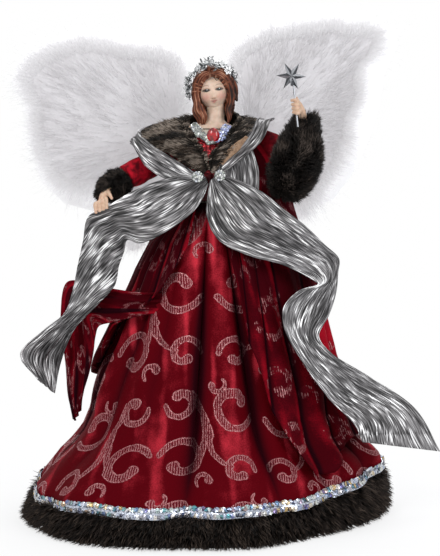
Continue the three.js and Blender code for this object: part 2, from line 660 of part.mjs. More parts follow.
function mouldedHair() {
  const radii = headRadii.clone().addScalar(hairThickness);
  const mass = roundForm(headCentre, radii, 24, 10, (direction) => {
    const turn = Math.atan2(direction.x, -direction.y);
    const waves = hairWaveShare * Math.cos(9 * turn + 5 * direction.z) * (0.4 + 0.6 * Math.abs(direction.x));
    return 1 + waves + (hairDrop / radii.z) * Math.abs(direction.x) * Math.max(0, -direction.z);
  });
  const locks = [-1, 1].map((side) => bar([
    [headHalfWidth + hairThickness / 3, -headHalfHeight / 3],
    [headHalfWidth + hairThickness / 6, -headHalfHeight],
    [headHalfWidth - hairThickness / 4, -headHalfHeight - hairDrop],
  ].map(([out, up]) => headCentre.clone().add(point(side * out, 0, up))), (t) => hairThickness
    * (1 - 0.6 * t) * (1 + 0.12 * Math.sin(12 * t)), 6, 5));
  const window = roundForm(
    headCentre.clone().sub(point(0, headHalfDepth + hairThickness, headHalfHeight * 0.3)),
    point(headHalfWidth * 0.96, headHalfDepth + hairThickness / 2, headHalfHeight * 1.12), 12, 8,
  );
  const skull = roundForm(headCentre, headRadii.clone().addScalar(2 * clearance), 18, 10);
  return seated(fused(mass, ...locks).subtract(window).subtract(skull), neckAndBust());
}

function headGarland() {
  const tilt = new THREE.Matrix4().makeRotationX(radians(garlandTiltDegrees))
    .setPosition(headCentre.clone().add(point(0, garlandBack, garlandLift)));
  const onRing = (turn, radius, lift = 0) => onAxis(radius, turn, lift).applyMatrix4(tilt);
  const [hoopSides, hoopSteps] = [4, 18];
  const hoop = ringSolid(Array.from({ length: hoopSides }, (_, s) => {
    const around = (2 * Math.PI * s) / hoopSides;
    const [out, lift] = [garlandTube * Math.cos(around), garlandTube * Math.sin(around)];
    return Array.from(
      { length: hoopSteps }, (__, i) => onRing((2 * Math.PI * i) / hoopSteps, garlandRadius + out, lift),
    );
  }));
  const trims = Array.from({ length: garlandLeafCount }, (_, k) => {
    const turn = (2 * Math.PI * (k + 0.5)) / garlandLeafCount;
    const lean = k % 2 ? 0.35 : -0.35;
    const from = onRing(turn, garlandRadius);
    const rise = garlandLeafLength * (0.5 + (k % 3) / 6);
    const to = onRing(turn + lean, garlandRadius + garlandLeafLength / 2, rise);
    const leaf = bar(
      [from, from.clone().lerp(to, 0.5), to],
      (t) => garlandLeafWidth * (0.16 + 0.42 * Math.sin(Math.PI * t)), 3, 2, 0.6,
    );
    if (k % 3) return leaf;
    const berry = onRing(turn + lean / 2, garlandRadius + garlandTube, garlandTube);
    return fused(leaf, roundForm(berry, point(1, 1, 1).multiplyScalar(garlandBerryRadius), 6, 3));
  });
  return fused(hoop, ...trims);
}

// Arms
const sleeve = (shares) => bar(shares.map(place), (t) => sleeveRadius
  * (0.94 + 0.1 * Math.sin(Math.PI * t) + 0.03 * Math.cos(18 * t)), 12, 6);

function cuff(shares, radius) {
  const steps = cuffRadiusShares.length - 1;
  const keys = cuffRadiusShares.map((_, i) => i / steps);
  return bar(shares.map(place), (t) => radius * readTable(keys, cuffRadiusShares, t), 14, steps);
}

// A moulded hand: wrist, palm, curled fingers and a thumb
function hand(arm) {
  const [wrist, palm, knuckle] = arm.palm.map(place);
  const [firstFinger, lastFinger] = [arm.firstFinger.map(place), arm.lastFinger.map(place)];
  const fingers = Array.from({ length: fingerCount }, (_, f) => {
    const across = f / (fingerCount - 1);
    const route = firstFinger.map((p, i) => p.clone().lerp(lastFinger[i], across));
    const root = palm.clone().lerp(knuckle, mix(0.35, 1, across)).lerp(route[0], 0.2);
    return bar([root, ...route], (t) => fingerRadius * (1 - 0.3 * t), 5, 3);
  });
  return fused(
    bar([wrist, palm], (t) => wristRadius * (0.9 - 0.12 * t), 7, 1),
    bar(
      [wrist.clone().lerp(palm, 0.8), palm, knuckle],
      (t) => wristRadius * (0.8 + 0.25 * Math.sin(3 * t)), 7, 3, 0.7,
    ),
    bar([wrist.clone().lerp(palm, 0.7), palm, place(arm.thumb)], (t) => fingerRadius * (1.2 - 0.4 * t), 5, 3),
    ...fingers,
  );
}

const leftArmWire = () => bar(leftArmShares.wire.map(place), () => armWireRadius, 6, 9);

// The wand arm's wire: a pin on the pivot axis, a level arm out of the shoulder, then down and up the arm
function rightArmWire() {
  const pinLength = 7 * armWireRadius;
  const pin = post(pivotX, 0, armWireRadius, pivotZ - armWireRadius, pivotZ + pinLength, 8);
  const route = [point(pivotX, 0, pivotZ), ...rightArmShares.wire.map(place)];
  return fused(pin, bar(route, () => armWireRadius, 6, 18));
}

// Room in the shoulder for the pin and for the level arm through its swing
function shoulderSlot() {
  const half = armWireRadius + 2 * clearance;
  const swing = [-90, -12, -4, 4, 12, 20, 28, 90].map(radians);
  const reach = pivotClearRadius;
  const ringAt = (height) => swing.map((angle, i) => {
    const radius = i === 0 || i === swing.length - 1 ? half : reach;
    return point(pivotX + radius * Math.cos(angle), radius * Math.sin(angle), height);
  });
  const bore = post(pivotX, 0, half, pivotZ - half, figureHeight, 12);
  return fused(loft([ringAt(pivotZ - half), ringAt(pivotZ + half)]), bore);
}

// Wand
const wandRod = () => bar([place(wandFootShares), place(wandTipShares)], () => wandRadius, 8, 2);

// A faceted star with ridges from its middle to each point, on a short socket
function wandStar(rod) {
  const centre = place(wandTipShares);
  const axis = centre.clone().sub(place(wandFootShares)).normalize();
  const leanDegrees = 8;
  const points = [point(0, -starHalfDepth, 0), point(0, starHalfDepth, 0)];
  for (let i = 0; i < 2 * starPoints; i += 1) {
    const radius = starRadius * (i % 2 ? starInnerShare : 1);
    const turn = (Math.PI * i) / starPoints + radians(leanDegrees);
    points.push(point(radius * Math.cos(turn), 0, radius * Math.sin(turn)));
  }
  const triangles = [];
  for (let i = 0; i < 2 * starPoints; i += 1) {
    const [a, b] = [2 + i, 2 + ((i + 1) % (2 * starPoints))];
    triangles.push([0, a, b], [1, b, a]);
  }
  const socketStart = centre.clone().addScaledVector(axis, -starRadius * 0.6);
  const socket = bar([socketStart, centre], () => 2 * wandRadius, 8, 1);
  const star = solidOf(points.map((p) => p.add(centre)), triangles);
  return fused(star, socket).subtract(grown(rod, clearance));
}

// Wings hang on two upright tubes behind the coat
const hingeTubeRadius = hingeWireRadius + clearance + hingeTubeWall;
const coatBack = torsoHalfDepth(hingeTop) + 2 * clearance + bodiceWall + coatStandoff + coatWall;
const hingeY = coatBack + clearance + bracketPlate + hingeTubeRadius;
const wingPlane = hingeY + wingStandoff;

function wingOutline(shares, spokes) {
  const curve = new THREE.CatmullRomCurve3(
    shares.map(([right, up]) => point(right, 0, up).multiplyScalar(figureHeight)), true, "centripetal",
  );
  const edge = Array.from({ length: spokes }, (_, i) => curve.getPointAt(i / spokes));
  const centre = edge.reduce((sum, p) => sum.add(p), point(0, 0, 0)).divideScalar(spokes);
  return { edge, centre };
}

// One face of down with a flat back and a rounded front; facing is -1 towards the front
function wingDown(shares, facing) {
  const { edge, centre } = wingOutline(shares, wingSpokes);
  const back = wingPlane + facing * (wingCardThickness / 2 + clearance);
  return loft(wingRingShares.map(([out, lift]) => edge.map((p, i) => centre.clone()
    .lerp(p, out * (i % 2 ? 1 : wingLobeShare))
    .setY(back + facing * (lift ? mix(wingEdgeThickness, wingLoft, lift) : 0)))));
}

function wingCard(shares) {
  const { edge, centre } = wingOutline(shares, wingSpokes / 2);
  const ringAt = (y) => edge.map((p) => centre.clone().lerp(p, wingCardShare).setY(y));
  return loft([ringAt(wingPlane - wingCardThickness / 2), ringAt(wingPlane + wingCardThickness / 2)]);
}

// Root wire: straight through the bracket's tube, with both ends laid along the front of the card
function wingWire(side) {
  const onCard = wingPlane - wingCardThickness / 2 - 2 * clearance - hingeWireRadius;
  const leg = (shares, height) => bar([
    point(side * hingeX, hingeY, height),
    ...shares.map(([out, up], i) => point(
      side * out * figureHeight, i ? onCard : mix(hingeY, onCard, 0.5), up * figureHeight,
    )),
  ], () => hingeWireRadius, 5, 7);
  const [low, high] = [hingeBottom - hingeOverhang, hingeTop + hingeOverhang];
  return fused(
    post(side * hingeX, hingeY, hingeWireRadius, low, high, 8),
    leg(upperWireShares, high - hingeWireRadius), leg(lowerWireShares, low + hingeWireRadius),
  );
}

function wingBracket(coatSolid) {
  const halfWidth = hingeX + hingeTubeRadius;
  const corners = [[-1, 0], [1, 0], [1, 1], [-1, 1]];
  const ringAt = (height) => corners.map(([across, back]) => point(
    across * halfWidth, mix(coatBack - bracketPlate, hingeY - hingeTubeRadius / 2, back), height,
  ));
  const plate = loft([ringAt(hingeBottom), ringAt(hingeTop)]);
  const tubes = [-1, 1].map((side) => post(side * hingeX, hingeY, hingeTubeRadius, hingeBottom, hingeTop, 12));
  const bores = [-1, 1].map((side) => post(
    side * hingeX, hingeY, hingeWireRadius + clearance, hingeBottom - cutOverrun, hingeTop + cutOverrun, 10,
  ));
  return seated(fused(plate, ...tubes).subtract(fused(...bores)), coatSolid);
}

// A rhinestone button: a domed stone in a ring of small ones
function button(shares) {
  const centre = place(shares);
  // Radius, depth towards the front and how far the small stones stand out, all against the radius
  const sectionShares = [[1, 0.35, 0], [1.3, 0, 0.1], [1, -0.3, 0.05], [0.72, -0.25, 0], [0.4, -0.5, 0]];
  const [stones, sides] = [8, 24];
  return loft(sectionShares.map(([out, back, stone]) => Array.from({ length: sides }, (_, i) => {
    const turn = (2 * Math.PI * i) / sides;
    const radius = buttonRadius * (out + stone * Math.cos(stones * turn));
    return centre.clone().add(point(radius * Math.cos(turn), buttonRadius * back, radius * Math.sin(turn)));
  })));
}

const pendantGem = () => roundForm(place(gemShares), point(gemHalfWidth, gemDepth, gemHalfHeight), 10, 6);
const neckline = () => bar(necklineShares.map(place), () => necklineRadius, 6, 12, 0.7);

const root = new THREE.Group();
const angel = new THREE.Group();
root.add(angel);

const finish = (color, roughness, metalness = 0) => new THREE.MeshStandardMaterial(
  { color, roughness, metalness },
);

function addPiece(name, solid, material) {
  const { vertProperties, triVerts } = solid.getMesh();
  const geometry = new THREE.BufferGeometry();
  geometry.setAttribute("position", new THREE.BufferAttribute(vertProperties, 3));
  geometry.setIndex(new THREE.BufferAttribute(triVerts, 1));
  geometry.computeVertexNormals();
  const mesh = new THREE.Mesh(geometry, material);
  mesh.name = name;
  angel.add(mesh);
  return solid;
}

// Body
const leftWire = addPiece("arm_wire_left", leftArmWire(), finish(0x8f9296, 0.35, 0.9));
const rightWire = addPiece("arm_wire_right", rightArmWire(), finish(0x8f9296, 0.35, 0.9));
const slot = shoulderSlot();
const pierced = (solid) => largest(solid.subtract(slot).subtract(grown(leftWire, seatGrowth)));
addPiece("base_cone", baseCone(), finish(0xd8d2c6, 0.8));
const torsoSolid = addPiece("torso_block", pierced(torso()), finish(0xd8d2c6, 0.8));
const skirtSolid = addPiece("skirt", skirt(), finish(0xa0142a, 0.8));
const bodiceSolid = addPiece("bodice", pierced(bodice()), finish(0xa30f20, 0.35, 0.4));
const coatSolid = addPiece("coat", seated(pierced(coat()), skirtSolid), finish(0x8d0b1c, 0.85));
addPiece("hem_sequin_braid", sequinBraid(), finish(0xb9c4d6, 0.2, 0.7));
addPiece("hem_fur", furHem(), finish(0x33251d, 0.95));

// Head
const headSolid = addPiece("head_and_bust", headAndBust(), finish(0xe3b998, 0.45));
const hairSolid = addPiece("moulded_hair", mouldedHair(), finish(0x7a3218, 0.4));
addPiece("head_garland", seated(headGarland(), hairSolid, headSolid), finish(0xc9ccd2, 0.25, 0.8));

// Arms and wand
const rodSolid = addPiece("wand_rod", wandRod(), finish(0xd9d9dc, 0.3, 0.9));
addPiece("wand_star", wandStar(rodSolid), finish(0xa6a8ad, 0.2, 0.9));
const skin = () => finish(0xe3b998, 0.45);
const leftHand = addPiece("hand_left", seated(hand(leftArmShares), leftWire), skin());
const rightHand = addPiece("hand_right", seated(hand(rightArmShares), rodSolid, rightWire), skin());
const [leftSleeveForm, rightSleeveForm] = [sleeve(leftArmShares.sleeve), sleeve(rightArmShares.sleeve)];
const coatCloth = () => finish(0x8d0b1c, 0.85);
const leftSleeve = addPiece("sleeve_left", seated(leftSleeveForm, coatSolid, leftWire), coatCloth());
addPiece("sleeve_right", seated(rightSleeveForm, rightWire), coatCloth());
const leftCuff = addPiece(
  "fur_cuff_left", seated(cuff(leftArmShares.cuff, leftCuffRadius), leftSleeveForm, leftHand, leftWire),
  finish(0x33251d, 0.95),
);
addPiece(
  "fur_cuff_right",
  seated(cuff(rightArmShares.cuff, rightCuffRadius), rightSleeveForm, rightHand, rightWire, rodSolid),
  finish(0x33251d, 0.95),
);

// Stole, collar and trim
const silver = () => finish(0xa9adb2, 0.3, 0.85);
const leftLapelForm = lapel(leftLapelInnerShares, leftLapelOuterShares);
const rightLapelForm = lapel(rightLapelInnerShares, rightLapelOuterShares);
const leftLapel = addPiece("stole_lapel_left", seated(leftLapelForm, leftSleeve, coatSolid), silver());
const rightLapel = addPiece("stole_lapel_right", seated(rightLapelForm, leftLapel, coatSolid), silver());
const furSolid = addPiece("fur_collar", seated(
  furCollar(), leftLapel, rightLapel, coatSolid, bodiceSolid, headSolid, hairSolid, torsoSolid, leftSleeve,
), finish(0x4a3a30, 0.95));
addPiece("collar_lining", seated(collarLining(), furSolid, rightLapel, coatSolid), finish(0xa88768, 0.9));
const rightDrape = addPiece("stole_drape_right", seated(
  drape(rightDrapeUpperShares, rightDrapeLowerShares), leftLapel, rightLapel, furSolid, coatSolid, skirtSolid,
), silver());
const leftDrape = addPiece("stole_drape_left", seated(
  drape(leftDrapeUpperShares, leftDrapeLowerShares), leftLapel, furSolid, rightDrape, leftHand, leftCuff,
), silver());
addPiece("coat_train_left", seated(coatTrain(), coatSolid, skirtSolid, leftDrape), finish(0x8d0b1c, 0.85));
const gemSolid = addPiece("pendant_gem", seated(pendantGem(), headSolid, torsoSolid), finish(0xb30a12, 0.1));
addPiece("neckline_trim", seated(
  neckline(), gemSolid, headSolid, torsoSolid, bodiceSolid, furSolid, hairSolid,
), finish(0xc9ccd2, 0.25, 0.8));
[["left", leftButtonShares], ["right", rightButtonShares]].forEach(([name, shares]) => addPiece(
  `button_${name}`, seated(button(shares), leftLapel, rightLapel, furSolid, leftDrape, rightDrape), silver(),
));

// Wings
addPiece("wing_bracket", wingBracket(coatSolid), finish(0xd8d2c6, 0.8));
[["left", leftWingShares, -1], ["right", rightWingShares, 1]].forEach(([name, shares, side]) => {
  const wire = addPiece(`wing_wire_${name}`, wingWire(side), finish(0x8f9296, 0.35, 0.9));
  addPiece(`wing_card_${name}`, wingCard(shares), finish(0xe6e4e0, 0.9));
  addPiece(`wing_front_down_${name}`, seated(wingDown(shares, -1), wire), finish(0xf1f0f2, 0.95));
  addPiece(`wing_back_down_${name}`, wingDown(shares, 1), finish(0xf1f0f2, 0.95));
});

// The model stands with the middle of its outline on the origin
root.updateMatrixWorld(true);
const outline = new THREE.Box3().setFromObject(angel);
angel.position.set(-(outline.min.x + outline.max.x) / 2, -(outline.min.y + outline.max.y) / 2, -outline.min.z);
root.updateMatrixWorld(true);

export default root;
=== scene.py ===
"""Looks of a christmas angel tree topper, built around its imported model.

Places are worked out in millimetres from the body's upright axis, with the front towards -Y, and
become metres when a mesh is made. Left and right are as seen from the front.
"""
import math

import bpy
import numpy as np
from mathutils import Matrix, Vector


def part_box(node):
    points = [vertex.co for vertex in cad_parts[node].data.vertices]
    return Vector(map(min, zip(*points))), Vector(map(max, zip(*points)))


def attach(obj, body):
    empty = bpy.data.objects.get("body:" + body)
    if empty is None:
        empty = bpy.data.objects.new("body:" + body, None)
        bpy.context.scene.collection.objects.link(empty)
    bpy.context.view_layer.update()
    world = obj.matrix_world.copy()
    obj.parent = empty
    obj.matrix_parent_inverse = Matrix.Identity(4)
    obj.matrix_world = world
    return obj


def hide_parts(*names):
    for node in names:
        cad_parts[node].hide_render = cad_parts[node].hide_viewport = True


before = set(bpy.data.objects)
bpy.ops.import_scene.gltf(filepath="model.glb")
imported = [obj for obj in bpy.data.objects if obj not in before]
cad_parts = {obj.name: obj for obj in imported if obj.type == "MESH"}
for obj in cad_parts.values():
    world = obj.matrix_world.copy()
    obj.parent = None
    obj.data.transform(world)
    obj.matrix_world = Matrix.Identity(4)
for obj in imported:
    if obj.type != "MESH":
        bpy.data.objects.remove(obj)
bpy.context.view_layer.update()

# Camera: a long lens a little above the angel's head and a hand's breadth to the right of its axis,
# tipped down so that the whole figure fills the upright picture.
cone_low, cone_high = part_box("base_cone")
axis_place = np.array([(cone_low.x + cone_high.x) / 2, (cone_low.y + cone_high.y) / 2, 0.0])
camera_place_mm = np.array([8.0, -1250.0, 300.0])
camera_pitch = math.radians(5.26)
camera = bpy.data.cameras.new("camera")
camera.lens = 101.17
camera_object = bpy.data.objects.new("camera", camera)
camera_object.location = camera_place_mm / 1000 + axis_place
camera_object.rotation_euler = (math.pi / 2 - camera_pitch, 0, 0)
bpy.context.scene.collection.objects.link(camera_object)
bpy.context.scene.camera = camera_object
bpy.context.scene.view_settings.view_transform = "Standard"


# Floor, sky and lamps: a plain pale studio. The floor fades to the white of the sky before its rim,
# and keeps the shadow under the hem.
class Channel:
    """A shader socket; sums, products and comparisons on it add Math nodes to its material."""

    def __init__(self, paint, socket):
        self.paint, self.socket = paint, socket

    def math(self, operation, *others):
        return self.paint.node("Math", {"operation": operation}, (self, *others))

    def from_number(self, operation, number):
        return self.paint.node("Math", {"operation": operation}, (number, self))

    def __add__(self, other):
        return self.math("ADD", other)

    def __sub__(self, other):
        return self.math("SUBTRACT", other)

    def __mul__(self, other):
        return self.math("MULTIPLY", other)

    def __truediv__(self, other):
        return self.math("DIVIDE", other)

    def __pow__(self, other):
        return self.math("POWER", other)

    def __mod__(self, other):
        return self.math("FLOORED_MODULO", other)

    def __gt__(self, other):
        return self.math("GREATER_THAN", other)

    def __lt__(self, other):
        return self.math("LESS_THAN", other)

    def __abs__(self):
        return self.math("ABSOLUTE")

    def __rsub__(self, number):
        return self.from_number("SUBTRACT", number)

    __radd__ = __add__
    __rmul__ = __mul__

    def ramp(self, low, high):
        """0 below low, 1 above high and smooth in between."""
        return self.paint.node(
            "MapRange", {"interpolation_type": "SMOOTHSTEP"}, (self, low, high, 0.0, 1.0)
        )


class Paint:
    """A material or world in the making, on the node tree of its owner."""

    def __init__(self, owner):
        owner.use_nodes = True
        self.owner, self.tree = owner, owner.node_tree
        self.tree.nodes.clear()

    def node(self, kind, settings=None, values=(), output=0):
        """Adds a node of that type, makes its settings first and then fills or links its sockets."""
        made = self.tree.nodes.new("ShaderNode" + kind)
        for key, value in (settings or {}).items():
            if key == "stops":
                while len(made.color_ramp.elements) < len(value):
                    made.color_ramp.elements.new(1)
                for element, (place, colour) in zip(made.color_ramp.elements, value):
                    element.position, element.color = place, colour
            else:
                setattr(made, key, value)
        for key, value in values.items() if isinstance(values, dict) else enumerate(values):
            if isinstance(value, Channel):
                self.tree.links.new(value.socket, made.inputs[key])
            else:
                made.inputs[key].default_value = value
        return Channel(self, made.outputs[output]) if made.outputs else None

    def blend(self, share, first, second, way="MIX"):
        """Colour that goes from first to second as share goes from 0 to 1."""
        return self.node("Mix", {"data_type": "RGBA", "blend_type": way}, {0: share, 6: first, 7: second}, 2)

    def places(self, size_mm=1.0):
        """The object's own coordinates, in units of that many millimetres."""
        coordinates = self.node("TexCoord", None, (), "Object")
        scale = 1000 / size_mm
        return self.node("VectorMath", {"operation": "MULTIPLY"}, (coordinates, (scale, scale, scale)))

    def noise(self, size_mm, detail=2.0, coordinates=None, stretch=(1, 1, 1)):
        """Soft noise from 0 to 1 whose lumps are about that size."""
        places = coordinates or self.places()
        factors = tuple(s / size_mm for s in stretch)
        scaled = self.node("VectorMath", {"operation": "MULTIPLY"}, (places, factors))
        return self.node("TexNoise", None, {"Vector": scaled, "Scale": 1.0, "Detail": detail})

    def attribute(self, name):
        return self.node("Attribute", {"attribute_name": name}, (), "Fac")

    def parts(self, vector):
        """The three numbers of a vector."""
        return [self.node("SeparateXYZ", None, (vector,), i) for i in range(3)]

    def bump(self, height, depth_mm, strength=1.0):
        return self.node("Bump", None, {"Strength": strength, "Distance": depth_mm / 1000, "Height": height})

    def finish(self, sockets):
        """Hangs a Principled shader with these sockets on the output."""
        shader = self.node("BsdfPrincipled", None, sockets)
        self.node("OutputMaterial", None, {"Surface": shader})
        return self.owner


def paint_named(name):
    return Paint(bpy.data.materials.new(name))


def srgb(red, green, blue):
    """Linear colour of an 8-bit one."""
    shares = [c / 255 for c in (red, green, blue)]
    return (*[s / 12.92 if s <= 0.04045 else ((s + 0.055) / 1.055) ** 2.4 for s in shares], 1.0)


def seen_directly(paint):
    """1 for the camera's own rays, mirror rays and rays through glass."""
    path = ["Is Camera Ray", "Is Glossy Ray", "Is Transmission Ray"]
    first, second, third = [paint.node("LightPath", None, (), name) for name in path]
    return first.math("MAXIMUM", second).math("MAXIMUM", third)


world = bpy.data.worlds.new("studio")
bpy.context.scene.world = world
sky = Paint(world)
fill_light = sky.node("Background", None, {"Color": (0.93, 0.96, 1.0, 1), "Strength": 0.6})
white_sky = sky.node("Background", None, {"Color": (1, 1, 1, 1), "Strength": 1.0})
sky.node(
    "OutputWorld", None, {"Surface": sky.node("MixShader", None, (seen_directly(sky), fill_light, white_sky))}
)

floor_half_width = 6.0
floor_mesh = bpy.data.meshes.new("floor")
floor_corners = [(-1, -1, 0), (1, -1, 0), (1, 1, 0), (-1, 1, 0)]
floor_mesh.from_pydata([tuple(c * floor_half_width for c in p) for p in floor_corners], [], [(0, 1, 2, 3)])
floor = bpy.data.objects.new("floor", floor_mesh)
bpy.context.scene.collection.objects.link(floor)
floor_paint = paint_named("pale_floor")
floor_grey = (0.86, 0.86, 0.87, 1)
floor_shader = floor_paint.node("BsdfPrincipled", None, {"Base Color": floor_grey, "Roughness": 0.9})
floor_glow = floor_paint.node("Emission", None, {"Color": (1, 1, 1, 1), "Strength": 1.0})
floor_distance = floor_paint.node("VectorMath", {"operation": "LENGTH"}, (floor_paint.places(),), "Value")
floor_share = (floor_distance.ramp(90.0, 420.0) * 0.3 + 0.7) * seen_directly(floor_paint)
floor_paint.node(
    "OutputMaterial",
    None,
    {"Surface": floor_paint.node("MixShader", None, (floor_share, floor_shader, floor_glow))},
)
floor_mesh.materials.append(floor_paint.owner)

# Place, width and height in metres, watts and colour of each soft box
soft_boxes = [
    ("key_light", (-0.75, -1.35, 1.25), (0.55, 0.8), 11.5, (1.0, 0.98, 0.96)),
    ("side_light", (1.15, -1.0, 0.75), (0.35, 0.9), 8.0, (0.97, 0.98, 1.0)),
    ("top_light", (0.1, 0.35, 1.35), (0.9, 0.5), 6.5, (1.0, 1.0, 1.0)),
    ("back_light", (0.3, 1.4, 0.8), (1.0, 0.8), 7.0, (1.0, 1.0, 1.0)),
]
for name, place, (width, height), watts, colour in soft_boxes:
    lamp = bpy.data.lights.new(name, "AREA")
    lamp.shape = "RECTANGLE"
    lamp.size, lamp.size_y, lamp.energy, lamp.color = width, height, watts, colour
    lamp_object = bpy.data.objects.new(name, lamp)
    lamp_object.location = place
    towards = camera_object.location.__class__((0, 0, 0.2)) - lamp_object.location
    lamp_object.rotation_euler = towards.to_track_quat("-Z", "Y").to_euler()
    bpy.context.scene.collection.objects.link(lamp_object)


# Base cone, torso block and wing bracket: plain pressed board, pale and a little fibrous. The cone
# slips over the tree's top shoot, and the bracket is glued to the back of the coat.
board = paint_named("pressed_board")
fibres = board.noise(2.2, 4.0, stretch=(1, 1, 0.35))
board_colour = board.blend(fibres.ramp(0.3, 0.7), srgb(196, 186, 170), srgb(222, 214, 200))
board_material = board.finish({
    "Base Color": board_colour,
    "Roughness": 0.85 - 0.1 * fibres,
    "Normal": board.bump(fibres, 0.12, 0.6),
})


def paint_nodes(names, material):
    """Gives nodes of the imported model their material."""
    for name in names:
        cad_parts[name].data.materials.clear()
        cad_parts[name].data.materials.append(material)


paint_nodes(("base_cone", "torso_block", "wing_bracket"), board_material)


# Wires in the arms and at the wings' roots: bright drawn steel. They are bent into the torso block and
# into the tubes of the bracket.
steel = paint_named("drawn_wire")
drawing = steel.noise(0.25, 2.0, stretch=(1, 1, 0.1))
steel_material = steel.finish({
    "Base Color": steel.blend(drawing, srgb(140, 143, 148), srgb(190, 193, 197)),
    "Metallic": 1.0,
    "Roughness": 0.3 + 0.2 * drawing,
})
paint_nodes(("arm_wire_left", "arm_wire_right", "wing_wire_left", "wing_wire_right"), steel_material)


# Skirt: a bell of red pile velvet, cut as most of a circle and gathered at the waist, with woven
# scrolls of fine glitter thread. It falls in deep creases over the base cone.
def new_piece(name, points, corners, sizes, material, uv=None, values=None, smooth=True):
    """Mesh object from points in millimetres, all faces' corners in a row and each face's corner count."""
    mesh = bpy.data.meshes.new(name)
    corners = np.asarray(corners, np.int32)
    sizes = np.asarray(sizes, np.int32)
    mesh.vertices.add(len(points))
    mesh.vertices.foreach_set("co", (np.asarray(points) / 1000 + axis_place).astype(np.float32).ravel())
    mesh.loops.add(len(corners))
    mesh.loops.foreach_set("vertex_index", corners)
    mesh.polygons.add(len(sizes))
    mesh.polygons.foreach_set("loop_start", np.concatenate([[0], np.cumsum(sizes)[:-1]]).astype(np.int32))
    mesh.update(calc_edges=True)
    mesh.polygons.foreach_set("use_smooth", np.full(len(sizes), smooth))
    if uv is not None:
        mesh.uv_layers.new(name="flat").data.foreach_set("uv", np.asarray(uv, np.float32).ravel())
    for key, value in (values or {}).items():
        layer = mesh.attributes.new(key, "FLOAT", "POINT")
        layer.data.foreach_set("value", np.ravel(value).astype(np.float32))
    mesh.materials.append(material)
    made = bpy.data.objects.new(name, mesh)
    bpy.context.scene.collection.objects.link(made)
    return made


def grid_piece(name, points, material, wrap=False, uv=None, values=None):
    """Mesh over a grid of points [rows, columns, 3]; each cell is a four-cornered face.

    With wrap the last column joins the first, and the uv has one column more than the points.
    """
    rows, columns = points.shape[:2]
    cells = columns if wrap else columns - 1
    row, column = np.meshgrid(np.arange(rows - 1), np.arange(cells), indexing="ij")
    places = [(row, column), (row, column + 1), (row + 1, column + 1), (row + 1, column)]
    quads = np.stack([r * columns + c % columns for r, c in places], -1).reshape(-1, 4)
    if uv is not None:
        uv = np.stack([uv[r, c] for r, c in places], 2)
    return new_piece(name, points.reshape(-1, 3), quads.ravel(), np.full(len(quads), 4), material, uv, values)


def thicken(piece, wall_mm):
    """Gives a sheet its wall, half to each side, with a closed rim."""
    wall = piece.modifiers.new("wall", "SOLIDIFY")
    wall.thickness = wall_mm / 1000
    wall.offset = 0
    return piece


def lattice_noise(x, y, seed):
    """Smooth random values from -1 to 1 with one step of the lattice a unit wide."""
    rng = np.random.default_rng(seed)
    table = rng.uniform(-1, 1, (64, 64))
    column, row = np.floor(x).astype(int), np.floor(y).astype(int)
    s, t = x - column, y - row
    s, t = s * s * (3 - 2 * s), t * t * (3 - 2 * t)

    def level(j):
        near, far = [table[(row + j) % 64, (column + i) % 64] for i in (0, 1)]
        return near * (1 - s) + far * s

    return level(0) * (1 - t) + level(1) * t


def around_axis(radius, angle, height):
    """Points around the body's axis; the angle is 0 at the front and grows to the right."""
    return np.stack([radius * np.sin(angle), -radius * np.cos(angle), height + 0 * angle], -1)


figure_height, hem_radius, clearance = 352.0, 149.0, 0.3
fur_hem_height, skirt_wall = 26.0, 1.5
waist = 0.699 * figure_height
skirt_hem = fur_hem_height + clearance + skirt_wall / 2
torso_height_shares = [0.67, 0.699, 0.744, 0.795, 0.83, 0.852, 0.864]
torso_width_shares = [0.04, 0.055, 0.068, 0.085, 0.0966, 0.087, 0.045]
torso_depth_shares = [0.036, 0.047, 0.062, 0.064, 0.052, 0.038, 0.028]
bell_height_shares = [0.699, 0.668, 0.611, 0.548, 0.508, 0.432, 0.341, 0.301, 0.23, 0.187, 0.156, 0.13, 0.074]
bell_radius_shares = [0.134, 0.19, 0.293, 0.362, 0.397, 0.472, 0.55, 0.581, 0.631, 0.69, 0.757, 0.825, 0.935]
# Where the bell stands out, at the left under the train and in a puff at the right foot: degrees and
# their spread, share of the height and its spread, and millimetres
bell_swells = [(-84, 26, 0.28, 0.1, 7.5), (82, 24, 0.145, 0.055, 17)]
outline_degrees = [-180, -120, -90, -70, -38, -24, -8, 15, 34, 54, 75, 90, 180]
outline_shares = [1, 1, 1, 1.05, 1.1, 1.06, 1, 1, 0.92, 0.94, 0.98, 1, 1]
# One row per crease: degrees at the waist and at the hem, half width in degrees, depth against the hem's
# radius, and how sharp its bottom is
crease_degrees_and_shares = [
    (-4, -8, 9, 0.06, 1), (18, 25, 8, 0.05, 1), (-26, -34, 10, 0.03, 0.1), (40, 48, 8, 0.05, 1),
    (-48, -56, 9, 0.04, 0.3), (62, 70, 9, 0.046, 1), (-76, -80, 9, 0.04, 1), (88, 94, 9, 0.05, 1),
    (-102, -106, 9, 0.046, 1), (113, 118, 9, 0.046, 1), (-128, -132, 9, 0.05, 1), (140, 144, 9, 0.046, 1),
    (-155, -157, 9, 0.046, 1), (166, 169, 9, 0.05, 1),
]


def turn_between(start, end):
    """Degrees from one direction to another, from -180 to 180."""
    return (end - start + 180) % 360 - 180


def torso_radius(angle, height, let_out=0.0):
    """Distance from the axis to the torso's oval, let out by some cloth."""
    heights = np.array(torso_height_shares) * figure_height
    wide = figure_height * np.interp(height, heights, torso_width_shares) + let_out
    deep = figure_height * np.interp(height, heights, torso_depth_shares) + let_out
    return 1 / np.hypot(np.sin(angle) / wide, np.cos(angle) / deep)


def outline_share(angle):
    return np.interp(turn_between(0, np.degrees(angle)), outline_degrees, outline_shares)


